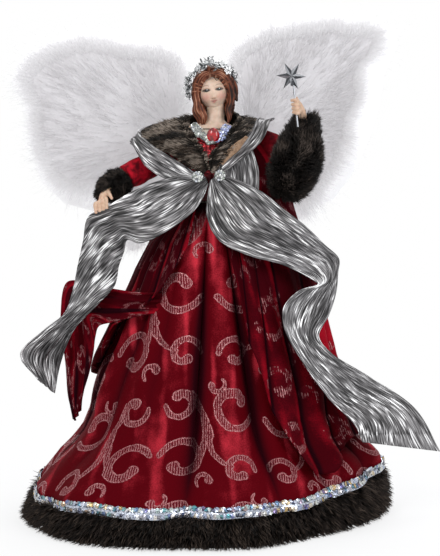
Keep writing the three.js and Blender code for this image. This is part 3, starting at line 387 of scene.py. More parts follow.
def crease_share(angle, down):
    """Sum over the creases of a rounded valley with a sharp cleft at its bottom, softer at the foot."""
    total = 0.0
    for top, foot, width, depth, sharp in crease_degrees_and_shares:
        away = turn_between(top + (foot - top) * down, np.degrees(angle))
        cleft = sharp * (1.0 - 0.85 * down**3) * np.exp(-np.abs(away) / (0.17 * width))
        total = total - depth * (0.65 * np.exp(-((away / width) ** 2)) + cleft)
    return total


def crease_shade(angle, down):
    """1 at the bottom of a crease, falling to 0 beside it."""
    shade = 0.0
    for top, foot, width, depth, sharp in crease_degrees_and_shares:
        away = turn_between(top + (foot - top) * down, np.degrees(angle))
        near = np.exp(-np.abs(away) / (0.32 * width)) * sharp + 0.3 * np.exp(-((away / width) ** 2))
        shade = np.maximum(shade, near * (1 - 0.8 * down**4))
    return np.clip(shade, 0, 1)


def bell_radius(angle, height):
    """The bell's profile times its outline, less the creases, which reach full depth over the upper part."""
    down = np.clip((waist - height) / (waist - skirt_hem), 0, 1)
    bell = hem_radius * np.interp(height, [s * figure_height for s in bell_height_shares[::-1]],
                                  bell_radius_shares[::-1])
    outline = 1 + (outline_share(angle) - 1) * down**3
    grown = np.sin(np.pi / 2 * np.minimum(1, 1.6 * down))
    folds = hem_radius * crease_share(angle, down) * grown
    ripple = 1.1 * np.cos(9 * angle + 4 * np.sin(2 * angle) + 5 * down) + 0.7 * np.cos(23 * angle - 7 * down)
    gathers = 0.8 * np.cos(50 * angle + 2 * np.sin(5 * angle)) * np.exp(-down / 0.15)
    swell = 0.0
    for degrees, turn_spread, share, share_spread, millimetres in bell_swells:
        off_turn = turn_between(degrees, np.degrees(angle)) / turn_spread
        off_height = (height / figure_height - share) / share_spread
        swell = swell + millimetres * np.exp(-(off_turn**2) - off_height**2)
    return np.maximum(bell * outline + folds + grown * ripple + gathers + swell,
                      torso_radius(angle, height, clearance + skirt_wall))


def flat_pattern(angle, height, apex_mm=40.0, spread=0.473):
    """Where a point of the bell lies on the cut cloth, in millimetres: a fan about the bell's apex."""
    levels = np.linspace(waist, 14, 200)
    profile = np.interp(levels, [s * figure_height for s in bell_height_shares[::-1]],
                        np.array(bell_radius_shares[::-1]) * hem_radius)
    slant = np.concatenate([[0], np.cumsum(np.hypot(np.diff(profile), np.diff(levels)))])
    reach = apex_mm + np.interp(-height, -levels, slant)
    return np.stack([reach * np.sin(spread * angle), -reach * np.cos(spread * angle)], -1)


scroll_tile_mm = (90.0, 92.0)
# Middle, inner and outer radius, turns, degrees at the start, hand, and width at the start and the end
scroll_curls = [
    ((-20, 24), (8.5, 20), 0.86, 150, -1, (9.0, 6.0)),
    ((22, -20), (8.5, 20), 0.86, 330, -1, (9.0, 6.0)),
    ((24, 27), (6.0, 13), 0.82, 60, 1, (7.6, 5.0)),
    ((-24, -27), (6.0, 13.5), 0.85, 240, 1, (7.6, 5.0)),
    ((-26, 0), (26, 26.5), 0.2, -72, 1, (3.6, 7.0)),
    ((26, 0), (26, 26.5), 0.2, 180, -1, (7.0, 3.6)),
    ((50, 4), (45, 47), 0.2, 140, 1, (3.6, 6.4)),
    ((4, -38), (3.8, 7.5), 0.6, 170, -1, (6.4, 3.0)),
    ((-6, 39), (3.8, 7), 0.6, 350, -1, (6.0, 3.0)),
]


def inside_curl(across, up, middle, radii, turns, start_degrees, hand, widths):
    """How far inside a curled stroke with round ends a point is, in millimetres.

    The stroke's middle line has radius inner (outer / inner) ** (t / sweep) at the angle start + hand t,
    for t from 0 to the sweep, and its width goes evenly from the first to the second.
    """
    sweep = 2 * math.pi * turns
    growth = math.log(radii[1] / radii[0]) / sweep
    x, y = across - middle[0], up - middle[1]
    radius = (x * x + y * y) ** 0.5
    bearing = ((y.math("ARCTAN2", x) - math.radians(start_degrees)) * hand) % (2 * math.pi)
    miss = abs(radius - (bearing * growth).math("EXPONENT") * radii[0])
    half_width = bearing * ((widths[1] - widths[0]) / sweep / 2) + widths[0] / 2
    best = half_width - miss - (bearing > sweep) * 99.0
    for reach, turned, width in ((radii[0], 0.0, widths[0] * 1.15), (radii[1], sweep, widths[1] * 0.85)):
        angle = math.radians(start_degrees) + hand * turned
        end_x, end_y = x - reach * math.cos(angle), y - reach * math.sin(angle)
        best = best.math("MAXIMUM", width / 2 - (end_x * end_x + end_y * end_y) ** 0.5)
    return best


def scrolls(paint, across, up):
    """How far inside the scrollwork a point is; bricks of curls, every second one mirrored."""
    tile_wide, tile_high = scroll_tile_mm
    row = (up / tile_high).math("FLOOR")
    shifted = across + (row % 2.0) * (tile_wide / 2)
    column = (shifted / tile_wide).math("FLOOR")
    mirror = 1 - ((row + column) % 2.0) * 2
    x = (shifted - column * tile_wide - tile_wide / 2) * mirror
    y = up - row * tile_high - tile_high / 2
    best = None
    for curl in scroll_curls:
        inside = inside_curl(x, y, *curl)
        best = inside if best is None else best.math("MAXIMUM", inside)
    return best


def velvet(name, dark, light, scrolled):
    """Pile velvet, with painted shade in the bottoms of its folds and on the lower part of the gown.

    The glitter thread lies in rows 1.9 mm apart inside the scrolls and along their outlines, and carries
    painted glints. On the folded coat only patches of it show.
    """
    paint = paint_named(name)
    across, up, _ = paint.parts(paint.node("UVMap", {"uv_map": "flat"}))
    cloth = paint.node("CombineXYZ", None, (across, up, 0.0))
    height = paint.parts(paint.places())[2]
    # Painted shade: under the waist the skirt's gathers lie in shadow, and the coat is shaded darker towards
    # the arms
    painted_top_shade = height.ramp(226, 248) * 0.85 if scrolled else height.ramp(120, 200) * 0.36
    fold = paint.attribute("fold").math("MAXIMUM", painted_top_shade)
    wobble = paint.noise(9.0, 1.0, cloth) - 0.5
    breaks = paint.noise(0.8, 1.0, cloth, (1, 0.3, 1)).ramp(0.34, 0.48)
    crush = paint.noise(16.0, 3.0, cloth)
    pile = paint.noise(0.5, 2.0, cloth)
    # Painted light: the gown is lighter towards the top, and long soft painted highlights run down along its
    # folds
    high = height.ramp(30.0, 240.0)
    lit = paint.noise(15.0, 1.0, cloth, (1, 0.16, 1)).ramp(0.48, 0.68) * (0.35 + 0.65 * high)
    grain = paint.noise(1.1, 2.0, cloth)
    uneven = (crush - 0.5) * 0.7 + (grain - 0.5) * 0.45
    shade = (lit * 0.8 + uneven + high * 0.3 + 0.05 - fold).ramp(0.0, 0.95)
    figure = scrolls(paint, across + wobble * 3.0, up + wobble * 2.0) - 0.3
    inside = figure.ramp(-0.3, 0.3)
    rows = (((across + wobble * 0.8) * (2 * math.pi / 1.9)).math("SINE") * 0.5 + 0.5).ramp(0.3, 0.7)
    pile_colour = paint.blend(shade, dark, light)
    under = paint.blend(inside * (0.7 if scrolled else 0.25), pile_colour, srgb(92, 18, 28))
    if scrolled:
        outline = 1 - abs(figure - 0.5).ramp(0.2, 0.7)
        thread = (inside * rows * 0.8).math("MAXIMUM", outline) * breaks
    else:
        thread = inside * rows * breaks * paint.noise(6.0, 2.0, cloth).ramp(0.44, 0.56) * (1 - fold)
    # Painted glints on the glitter thread
    glint = paint.noise(0.45, 1.0, cloth).ramp(0.54, 0.66)
    thread_colour = paint.blend(glint, srgb(160, 92, 96), srgb(240, 204, 202))
    colour = paint.blend(thread * 0.85, under, thread_colour)
    return paint.finish({
        # Painted shade in the bottoms of the folds and under the waist
        "Base Color": paint.blend(fold.ramp(0.15, 0.7) * 0.88, colour, srgb(20, 0, 6)),
        "Roughness": 0.72 - thread * 0.37,
        "Metallic": thread * 0.3,
        "Sheen Weight": 0.05,
        "Sheen Roughness": 0.3,
        "Sheen Tint": srgb(224, 50, 66),
        "Specular IOR Level": 0.03,
        "Normal": paint.bump(crush * 2.0 + pile * 0.5 + thread, 0.3, 0.6),
    })


skirt_velvet = velvet("scroll_velvet", srgb(82, 0, 9), srgb(222, 56, 72), True)
skirt_columns, skirt_rows = 640, 54
skirt_angle = np.linspace(-np.pi, np.pi, skirt_columns + 1)[None, :]
skirt_down = np.linspace(0, 1, skirt_rows)[:, None]
hem_degrees = [-180, -120, -90, -70, -40, -10, 30, 60, 85, 110, 180]
hem_levels = [24, 22, 18.5, 17, 21, 22.5, 22.5, 28, 36, 31, 24]


def hem_level(angle):
    """The skirt's foot lies low at the left and rises at the right, with small dips on its way round."""
    return np.interp(turn_between(0, np.degrees(angle)), hem_degrees, hem_levels) + 0.8 * np.sin(7 * angle)


skirt_height = waist + (hem_level(skirt_angle) - waist) * skirt_down
skirt_points = around_axis(bell_radius(skirt_angle, skirt_height) - skirt_wall / 2, skirt_angle, skirt_height)
skirt_grown = np.sin(np.pi / 2 * np.minimum(1, 1.6 * skirt_down))
# Painted shade at the bottoms of the creases
skirt_fold_shade = crease_shade(skirt_angle, skirt_down) * skirt_grown
skirt = grid_piece(
    "velvet_skirt", skirt_points[:, :-1], skirt_velvet, wrap=True, uv=flat_pattern(skirt_angle, skirt_height),
    values={"fold": skirt_fold_shade[:, :-1]},
)
thicken(skirt, 1.0)
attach(skirt, "figure")
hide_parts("skirt")


# Coat: the same velvet without its large scrolls, open at the front and gathered into deep folds of
# its own. Its hem is rolled up in a puff at the right, where it is caught to the skirt.
coat_top, coat_hem = 0.852 * figure_height, 0.119 * figure_height
coat_edge_height_shares = [0.852, 0.74, 0.7, 0.611, 0.511, 0.469, 0.426, 0.284, 0.119]
coat_right_edge_degrees = [38, 36, 24, 17, 20, 21, 22, 28, 41]
coat_left_edge_degrees = [38, 36, 24, 20, 36, 50, 70, 84, 88]
coat_hem_degrees = [41, 50, 60, 72, 90, 180, 235, 272]
coat_hem_shares = [0.119, 0.125, 0.155, 0.18, 0.185, 0.2, 0.24, 0.34]
coat_wall, coat_standoff, bodice_wall = 1.5, 1.0, 1.0
# How far the coat stands off at the right, where the raised arm pushes it out
coat_flare_height_shares = [0.1, 0.17, 0.22, 0.28, 0.35, 0.45, 0.55, 0.64, 0.7, 0.75, 0.8, 0.84]
coat_flare_mm = [2, 2, 14, 16, 15, 20, 26, 34, 43, 36, 20, 4]


def coat_radius(angle, height):
    """Over the bodice, then out over the skirt, in folds that ride between the skirt's own."""
    down = np.clip((waist - height) / (waist - coat_hem), 0, 1)
    over_bodice = torso_radius(angle, np.maximum(height, waist), clearance + bodice_wall)
    beside = [math.radians(d) for d in (-5.0, -2.5, 0.0, 2.5, 5.0)]
    over_skirt = np.max([bell_radius(angle + b, height) for b in beside], axis=0)
    under = np.where(height > waist, over_bodice, np.maximum(over_skirt, over_bodice))
    flare = np.interp(height, np.array(coat_flare_height_shares) * figure_height, coat_flare_mm)
    flare = flare * np.exp(-((turn_between(88, np.degrees(angle)) / 36) ** 2))
    return (under + clearance + coat_standoff + coat_wall / 2 + flare
            + (1.0 + 6.0 * coat_ridge(angle, down)) * np.minimum(1, 1.8 * down))


def coat_ridge(angle, down):
    """Round ridges with sharp valleys, about 12 degrees apart: the share between valley and ridge."""
    phase = 14.5 * angle + 2.4 * down + 1.1 * np.sin(3 * angle) + 0.5 * np.sin(7 * angle + 6 * down)
    return np.abs(np.cos(phase)) ** 0.8


coat_columns, coat_rows = 430, 76
coat_share = np.linspace(0, 1, coat_columns + 1)[None, :]
coat_down = np.linspace(0, 1, coat_rows)[:, None]
coat_turn = coat_hem_degrees[0] + (coat_hem_degrees[-1] - coat_hem_degrees[0]) * coat_share
coat_foot = figure_height * np.interp(coat_turn, coat_hem_degrees, coat_hem_shares)
coat_height = coat_top + (coat_foot - coat_top) * coat_down
edge_heights = [s * figure_height for s in coat_edge_height_shares[::-1]]
right_edge = np.radians(np.interp(coat_height, edge_heights, coat_right_edge_degrees[::-1]))
left_edge = 2 * np.pi - np.radians(np.interp(coat_height, edge_heights, coat_left_edge_degrees[::-1]))
coat_angle = right_edge + (left_edge - right_edge) * coat_share
coat_spread = coat_radius(coat_angle, coat_height)
# The front edges are turned under and stand a little proud
edge_near = np.exp(-np.minimum(coat_share, 1 - coat_share) / 0.012)
hem_near = np.exp(-(1 - coat_down) / 0.035)
coat_points = around_axis(
    coat_spread + 2.6 * edge_near * np.minimum(1, 3 * coat_down) - 3.0 * hem_near, coat_angle, coat_height
)
coat_velvet = velvet("coat_velvet", srgb(62, 0, 8), srgb(160, 14, 32), False)
coat_fall = np.clip((waist - coat_height) / (waist - coat_hem), 0, 1)
# Painted shade in the hollows between the coat's ridges
coat_fold_shade = np.clip(1 - coat_ridge(coat_angle, coat_fall) * 1.8, 0, 1) * np.minimum(1, 3 * coat_down)
# Laid out by angle and height, so that the thread runs down its folds
coat_flat = np.stack([coat_angle * 0.7 * hem_radius, coat_height + 0 * coat_angle], -1)
coat = grid_piece("velvet_coat", coat_points, coat_velvet, uv=coat_flat, values={"fold": coat_fold_shade})
thicken(coat, 1.1)
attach(coat, "figure")
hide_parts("coat")


# Train: the coat's left front, folded on itself into a thick band that swings out to the side and
# falls to the hem. The same velvet, with its glitter thread drawn into lines by the folds.
def spline(points, shares):
    """Points along a centripetal Catmull-Rom curve, for shares of its run from 0 to 1 (one span per pair)."""
    points = np.asarray(points, float)
    padded = np.vstack([2 * points[0] - points[1], points, 2 * points[-1] - points[-2]])
    spans = len(points) - 1
    place = np.clip(np.ravel(shares), 0, 1) * spans
    span = np.minimum(place.astype(int), spans - 1)
    t = (place - span)[:, None]
    p0, p1, p2, p3 = [padded[span + i] for i in range(4)]
    d0, d1, d2 = [np.maximum(np.linalg.norm(b - a, axis=1) ** 0.5, 1e-4)[:, None]
                  for a, b in ((p0, p1), (p1, p2), (p2, p3))]
    start = ((p1 - p0) / d0 - (p2 - p0) / (d0 + d1) + (p2 - p1) / d1) * d1
    end = ((p2 - p1) / d1 - (p3 - p1) / (d1 + d2) + (p3 - p2) / d2) * d1
    return (p1 + start * t + (3 * (p2 - p1) - 2 * start - end) * t**2 + (2 * (p1 - p2) + start + end) * t**3)


def on_skirt(shares):
    """Places against the hem's radius, to the right and back, and the figure's height, up."""
    return np.asarray(shares) * (hem_radius, hem_radius, figure_height)


def on_figure(shares):
    return np.asarray(shares) * figure_height


def ribbon_frame(upper, lower, across, along):
    """Points between two edges for shares across [1, n] and along [m, 1], with the normals there."""
    first, second = spline(upper, along), spline(lower, along)
    flat = first[:, None] + (second - first)[:, None] * across[..., None]
    run = np.gradient((first + second) / 2, axis=0)
    normal = np.cross(second - first, run)
    length = np.linalg.norm(normal, axis=1, keepdims=True)
    normal = normal / np.maximum(length, 1e-6)
    return flat, np.broadcast_to(normal[:, None], flat.shape)


def ribbon_pattern(upper, lower, across, along):
    """The ribbon laid flat, in millimetres: across its mean width, and along its middle line."""
    first, second = spline(upper, along), spline(lower, along)
    middle = (first + second) / 2
    run = np.concatenate([[0], np.cumsum(np.linalg.norm(np.diff(middle, axis=0), axis=1))])
    width = np.linalg.norm(second - first, axis=1)
    x = (across - 0.5) * width[:, None]
    return np.stack([x, np.broadcast_to(run[:, None], x.shape)], -1), run[-1], width.mean()


train_outer_shares = [
    [-0.25, -0.32, 0.505], [-0.38, -0.29, 0.505], [-0.579, -0.201, 0.514], [-0.755, -0.13, 0.522],
    [-0.794, -0.118, 0.45], [-0.78, -0.118, 0.38], [-0.768, -0.123, 0.327], [-0.756, -0.132, 0.262],
    [-0.718, -0.161, 0.208],
]
train_inner_shares = [
    [-0.255, -0.33, 0.462], [-0.382, -0.305, 0.452], [-0.52, -0.25, 0.436], [-0.591, -0.208, 0.424],
    [-0.61, -0.189, 0.4], [-0.619, -0.184, 0.365], [-0.638, -0.184, 0.32], [-0.666, -0.189, 0.28],
    [-0.695, -0.196, 0.24],
]
train_across = np.linspace(0, 1, 61)[None, :]
train_along = np.linspace(0, 1, 161)
train_edges = on_skirt(train_outer_shares), on_skirt(train_inner_shares)
train_points, train_normals = ribbon_frame(*train_edges, train_across, train_along)
train_folds = (3.4 * np.abs(np.sin(2.4 * np.pi * train_across + 1.2 * np.sin(5 * train_along[:, None])))
               - 1.7 + 1.2 * np.sin(11 * train_along[:, None] + 3 * train_across))
# The folds die out towards both edges
train_free = np.sin(np.pi * np.clip(train_across, 0.02, 0.98)) ** 0.4
train_points = train_points + train_normals * (train_folds * train_free)[..., None]
train_uv, train_length, train_width = ribbon_pattern(*train_edges, train_across * 2.2, train_along)
# Painted shade in the hollows of the train's folds
train_fold_shade = np.clip(1 - (train_folds + 2.9) / 2.6, 0, 1)
train = grid_piece("velvet_train", train_points, coat_velvet, uv=train_uv, values={"fold": train_fold_shade})
thicken(train, 1.6)
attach(train, "figure")
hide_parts("coat_train_left")


# Sequin braid: two rows of cupped sequins sewn to a narrow tape round the skirt's foot. The sequins
# shimmer in white, blue, gold and violet.
def joined(*forms):
    """One form from several; a form is its points, faces' corners, their counts and its values by name."""
    starts = np.cumsum([0] + [len(f[0]) for f in forms])
    points = np.vstack([f[0] for f in forms])
    corners = np.concatenate([f[1] + s for f, s in zip(forms, starts)])
    sizes = np.concatenate([f[2] for f in forms])
    values = {k: np.concatenate([np.ravel(f[3][k]) for f in forms]) for k in forms[0][3]}
    return points, corners, sizes, values


def form_piece(name, form, material, smooth=True):
    """Mesh object from a form."""
    return new_piece(name, *form[:3], material, None, form[3], smooth)


def grid_form(points, values=None, loop=False):
    """Closed form over points [rows, columns, 3] whose columns run round; its ends are fans.

    With loop its rows close on themselves as well. Faces are turned so that its volume is above zero.
    """
    rows, columns = points.shape[:2]
    bands = rows if loop else rows - 1
    row, column = np.meshgrid(np.arange(bands), np.arange(columns), indexing="ij")
    places = [(row, column), (row, column + 1), (row + 1, column + 1), (row + 1, column)]
    quads = np.stack([(r % rows) * columns + c % columns for r, c in places], -1).reshape(-1, 4)
    flat = points.reshape(-1, 3)
    fans = np.zeros((0, 3), int)
    if not loop:
        around = np.arange(columns)
        after, last = (around + 1) % columns, (rows - 1) * columns
        fans = np.vstack([
            np.stack([after, around, np.full(columns, rows * columns)], -1),
            np.stack([last + around, last + after, np.full(columns, rows * columns + 1)], -1),
        ])
        flat = np.vstack([flat, points[0].mean(0), points[-1].mean(0)])
    a, b, c, d = [flat[quads[:, i]] for i in range(4)]
    if (np.einsum("ij,ij->i", a, np.cross(b, c)) + np.einsum("ij,ij->i", a, np.cross(c, d))).sum() < 0:
        quads, fans = quads[:, ::-1], fans[:, ::-1]
    kept = {}
    for key, value in (values or {}).items():
        value = np.broadcast_to(value, (rows, columns))
        ends = [] if loop else [value[0].mean(), value[-1].mean()]
        kept[key] = np.concatenate([value.ravel(), ends])
    sizes = np.concatenate([np.full(len(quads), 4), np.full(len(fans), 3)])
    return flat, np.concatenate([quads.ravel(), fans.ravel()]), sizes, kept


def unit(vectors):
    return vectors / np.maximum(np.linalg.norm(vectors, axis=-1, keepdims=True), 1e-9)


def stamped(shape, faces, centres, rights, ups, scales, values):
    """Copies of a small shape [n, 3], its third axis along right x up, with one value per copy."""
    out = np.cross(rights, ups)
    frames = np.stack([rights, ups, out], 1) * scales[:, None, None]
    points = (np.asarray(shape)[None] @ frames + centres[:, None]).reshape(-1, 3)
    count, corners = len(centres), np.concatenate([np.asarray(f) for f in faces])
    offsets = np.arange(count)[:, None] * len(shape)
    sizes = np.tile([len(f) for f in faces], count)
    spread = {k: np.repeat(v, len(shape)) for k, v in values.items()}
    return points, (corners[None] + offsets).ravel(), sizes, spread


def disc_shape(sides, dome, rim=0.0):
    """A closed shallow dish: a ring of unit radius between a domed top and a flatter back."""
    turn = np.arange(sides) * 2 * np.pi / sides
    ring = np.stack([np.cos(turn), np.sin(turn), np.full(sides, rim)], -1)
    points = np.vstack([ring, [0, 0, dome], [0, 0, rim - 0.06]])
    faces = [(i, (i + 1) % sides, sides) for i in range(sides)]
    faces += [((i + 1) % sides, i, sides + 1) for i in range(sides)]
    return points, faces


def surface_frame(radius_at, angle, height, step=0.01):
    """Right, up and outward directions on a surface of the form radius_at(angle, height)."""
    here = around_axis(radius_at(angle, height), angle, height)
    right = unit(around_axis(radius_at(angle + step, height), angle + step, height) - here)
    lower = height - 0.5
    up = unit(here - around_axis(radius_at(angle, lower), angle, lower))
    out = unit(np.cross(right, up))
    return here, right, unit(np.cross(out, right)), out


sequin = paint_named("sequins")
sequin_hue = sequin.attribute("hue")
rainbow = sequin.node("ValToRGB", {"stops": [
    (0.0, srgb(236, 236, 238)), (0.2, srgb(150, 164, 196)), (0.36, srgb(226, 230, 236)),
    (0.5, srgb(196, 168, 106)), (0.6, srgb(120, 110, 170)), (0.72, srgb(92, 158, 166)),
    (0.86, srgb(232, 226, 220)), (1.0, srgb(70, 84, 120)),
]}, {"Fac": sequin_hue})
sequin_speck = sequin.noise(0.8, 1.0)
sequin_material = sequin.finish({
    "Base Color": sequin.blend(sequin_speck.ramp(0.45, 0.62) * 0.65, rainbow, srgb(44, 44, 52)),
    "Metallic": 0.75,
    "Roughness": 0.16 + 0.1 * sequin_speck,
})
braid_height = 7.0
braid_rng = np.random.default_rng(11)
tape_angle = np.linspace(-np.pi, np.pi, 480, endpoint=False)[None, :]
tape_share = np.array([0, 0.5, 1, 1, 0.5, 0])[:, None]
tape_proud = np.array([1.1, 1.3, 1.1, 0.2, 0.2, 0.2])[:, None]
tape_height = hem_level(tape_angle) - 0.5 + (braid_height - 1) * tape_share
tape = around_axis(bell_radius(tape_angle, tape_height) + tape_proud, tape_angle, tape_height)
row_sequins = 380
sequin_count = 2 * row_sequins
sequin_angle = np.tile(np.linspace(-np.pi, np.pi, row_sequins, endpoint=False), 2)
sequin_row = np.repeat([0.25, 0.76], row_sequins)
sequin_angle = sequin_angle + np.where(sequin_row > 0.5, np.pi / row_sequins, 0)
sequin_angle = sequin_angle + braid_rng.normal(0, 0.001, sequin_count)
sequin_height = hem_level(sequin_angle) + braid_height * sequin_row + braid_rng.normal(0, 0.25, sequin_count)
spot, spot_right, spot_up, spot_out = surface_frame(bell_radius, sequin_angle, sequin_height)
tip = braid_rng.normal(0, 0.28, (sequin_count, 2))
spot_right = unit(spot_right + tip[:, :1] * spot_out)
spot_up = unit(np.cross(unit(np.cross(spot_right, spot_up) + tip[:, 1:] * spot_up), spot_right))
braid = joined(
    grid_form(np.swapaxes(tape, 0, 1), {"hue": 0.3}, loop=True),
    stamped(*disc_shape(8, 0.22), spot + 1.9 * spot_out, spot_right, spot_up,
            braid_rng.uniform(1.75, 2.2, sequin_count), {"hue": braid_rng.uniform(0, 1, sequin_count)}),
)
hem_braid = form_piece("hem_sequins", braid, sequin_material, smooth=False)
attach(hem_braid, "figure")
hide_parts("hem_sequin_braid")


# Fur hem: a thick ring of long brown imitation fur on the floor, sewn under the braid. Its hairs are
# dark at the root and paler at the tip, partly as painted light, and hang outwards.
def spikes(roots, tips, widths, shades, bend):
    """Hairs: closed three-sided spikes that are bent by a vector at 55 % of their length."""
    count = len(roots)
    axis = tips - roots
    other = np.where(np.abs(unit(axis)[:, 2:]) > 0.9, [[1.0, 0, 0]], [[0, 0, 1.0]])
    side = unit(np.cross(axis, other))
    up = unit(np.cross(axis, side))
    turn = np.arange(3) * 2 * np.pi / 3 + np.pi / 6
    circle = np.cos(turn)[None, :, None] * side[:, None] + np.sin(turn)[None, :, None] * up[:, None]
    middle = roots + 0.55 * axis + bend
    points = np.concatenate([
        roots[:, None] + circle * widths[:, None, None] / 2,
        middle[:, None] + circle * widths[:, None, None] * 0.4,
        tips[:, None],
    ], 1)
    one = np.array([0, 1, 4, 3, 1, 2, 5, 4, 2, 0, 3, 5, 3, 4, 6, 4, 5, 6, 5, 3, 6, 2, 1, 0])
    corners = (one[None] + 7 * np.arange(count)[:, None]).ravel()
    sizes = np.tile([4, 4, 4, 3, 3, 3, 3], count)
    along = np.tile([0, 0, 0, 0.55, 0.55, 0.55, 1.0], count)
    return points.reshape(-1, 3), corners, sizes, {"along": along, "shade": np.repeat(shades, 7)}


def fur(name, root_colour, tip_colour, highlight_colour):
    """Hair paler at the tip and in patches, with painted light on the tips and on some paler hairs."""
    paint = paint_named(name)
    patches = paint.noise(7.0, 2.0)
    along = (paint.attribute("along") + (patches - 0.5) * 0.7).ramp(0.15, 1.0)
    shade = paint.attribute("shade")
    colour = paint.blend(along * shade.ramp(0.05, 0.6), root_colour, tip_colour)
    # Painted highlights: some hairs turn paler towards their tips
    pale = shade.ramp(0.68, 0.8) * along
    return paint.finish({
        "Base Color": paint.blend(pale * 0.7, colour, highlight_colour),
        "Roughness": 0.55,
        "Specular IOR Level": 0.2,
        "Sheen Weight": 0.1,
        "Sheen Roughness": 0.5,
        "Sheen Tint": highlight_colour,
    })


brown_fur = fur("brown_fur", srgb(10, 6, 5), srgb(50, 40, 34), srgb(98, 84, 74))
hem_width, hair_reach = 18.0, 10.0
# Section of the ring against its width and height, from the inner foot round to the inner top
section_shares = np.array([
    [0.05, 0], [0.5, 0], [0.9, 0], [0.98, 0.1], [1.0, 0.28], [0.96, 0.5], [0.88, 0.74], [0.78, 0.93],
    [0.55, 0.98], [0.15, 0.95], [0, 0.6], [0, 0.3],
])
ring_angle = np.linspace(-np.pi, np.pi, 320, endpoint=False)[:, None]


def hem_section(angle, out, up):
    """The ring's outer foot lies one hair's reach inside the outline, and its top under the braid."""
    lumps = 1 + 0.05 * lattice_noise(angle * 9, up * 2, 21)
    radius = hem_radius * outline_share(angle) - hair_reach - hem_width * (1 - out)
    return around_axis(radius, angle, (hem_level(angle) + 1) * up * lumps)


ring_form = grid_form(hem_section(ring_angle, section_shares[None, :, 0], section_shares[None, :, 1]),
                      {"along": 0.0, "shade": 0.3}, loop=True)
hem_rng = np.random.default_rng(5)
hem_hairs = 17500
hair_angle = hem_rng.uniform(-np.pi, np.pi, hem_hairs)
# Roots lie from the outer foot over the outside to the inner top
hair_place = hem_rng.beta(1.2, 1.2, hem_hairs) * 5.6 + 2.6
hair_out = np.interp(hair_place, np.arange(12), section_shares[:, 0])
hair_up = np.interp(hair_place, np.arange(12), section_shares[:, 1])
hair_root = hem_section(hair_angle, hair_out, hair_up)
beyond = hem_section(hair_angle, np.interp(hair_place + 0.2, np.arange(12), section_shares[:, 0]),
                     np.interp(hair_place + 0.2, np.arange(12), section_shares[:, 1])) - hair_root
sideways = around_axis(1.0, hair_angle + np.pi / 2, 0.0 * hair_angle)
hair_out_way = unit(np.cross(sideways, beyond))
radial = around_axis(1.0, hair_angle, 0.0 * hair_angle)
hair_out_way = hair_out_way * np.sign(np.sum(hair_out_way * (radial + [0, 0, 0.8]), -1))[:, None]
clump = lattice_noise(hair_angle * 26, hair_place * 1.2, 3)
lift = lattice_noise(hair_angle * 17 + 9, hair_place, 4)
hair_way = unit(hair_out_way * 0.7 + radial * 0.4 + np.array([0, 0, -0.75]) * (1 + 0.5 * lift[:, None])
                + sideways * (0.55 * clump + hem_rng.normal(0, 0.16, hem_hairs))[:, None]
                + hem_rng.normal(0, 0.12, (hem_hairs, 3)))
hair_length = hem_rng.uniform(7, 14, hem_hairs) * (1 - 0.3 * (hair_place > 7))
hair_tip = hair_root + hair_way * hair_length[:, None]
# Tips of a tuft draw together
tuft = np.round(hair_angle * 24 + 0.4 * np.floor(hair_place * 1.3)) - 0.4 * np.floor(hair_place * 1.3)
hair_tip = hair_tip + sideways * ((tuft / 24 - hair_angle) * hem_radius * 0.55)[:, None]
hair_bend = hair_out_way * (0.9 + 0.6 * lift)[:, None]
hair_tip[:, 2] = np.maximum(hair_tip[:, 2], 0.6)
hair_width = hem_rng.uniform(0.5, 0.95, hem_hairs)
hair_shade = np.clip(0.5 + 0.3 * clump + hem_rng.normal(0, 0.25, hem_hairs), 0, 1)
hem_form = joined(ring_form, spikes(hair_root - hair_out_way, hair_tip, hair_width, hair_shade, hair_bend))
# Nothing reaches into the floor
hem_form[0][:, 2] = np.maximum(hem_form[0][:, 2], 0.05)
hem_fur = form_piece("hem_fur_ring", hem_form, brown_fur)
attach(hem_fur, "figure")
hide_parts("hem_fur")


# Silver stole: thin lame crinkled into fine pleats that run along it. It lies over the shoulders as
# two lapels, is tied at the breast, and its two ends swing out over the skirt.
lame = paint_named("silver_lame")
lame_across, lame_along, _ = lame.parts(lame.node("UVMap", {"uv_map": "flat"}))
lame_flat = lame.node("CombineXYZ", None, (lame_across, lame_along, 0.0))
# The lame's colour is painted light: ridges and bright streaks are painted highlights and reflections,
# hollows and dark streaks painted shade
pleat = lame.attribute("pleat")
streaks = lame.noise(0.8, 1.0, lame_flat, (1, 0.06, 1))
crumple = lame.noise(9.0, 2.0, lame_flat, (1, 0.4, 1)).ramp(0.42, 0.66)
broad = lame.noise(24.0, 1.0, lame_flat, (1, 0.5, 1)) - 0.5
glare = 0.1 + pleat * 0.4 + crumple * 0.2 + broad * 0.9 + (streaks - 0.5) * (2.0 + 1.6 * crumple)
lame_colour = lame.node("ValToRGB", {"stops": [
    (0.0, srgb(22, 21, 22)), (0.25, srgb(78, 76, 77)), (0.45, srgb(118, 116, 117)),
    (0.65, srgb(146, 144, 145)), (0.8, srgb(214, 213, 213)), (1.0, srgb(252, 252, 252)),
]}, {"Fac": glare})
lame_material = lame.finish({
    "Base Color": lame_colour,
    "Metallic": 0.35,
    "Roughness": 0.55 - 0.2 * streaks,
    "Normal": lame.bump(streaks * 1.4, 0.5, 0.7),
})


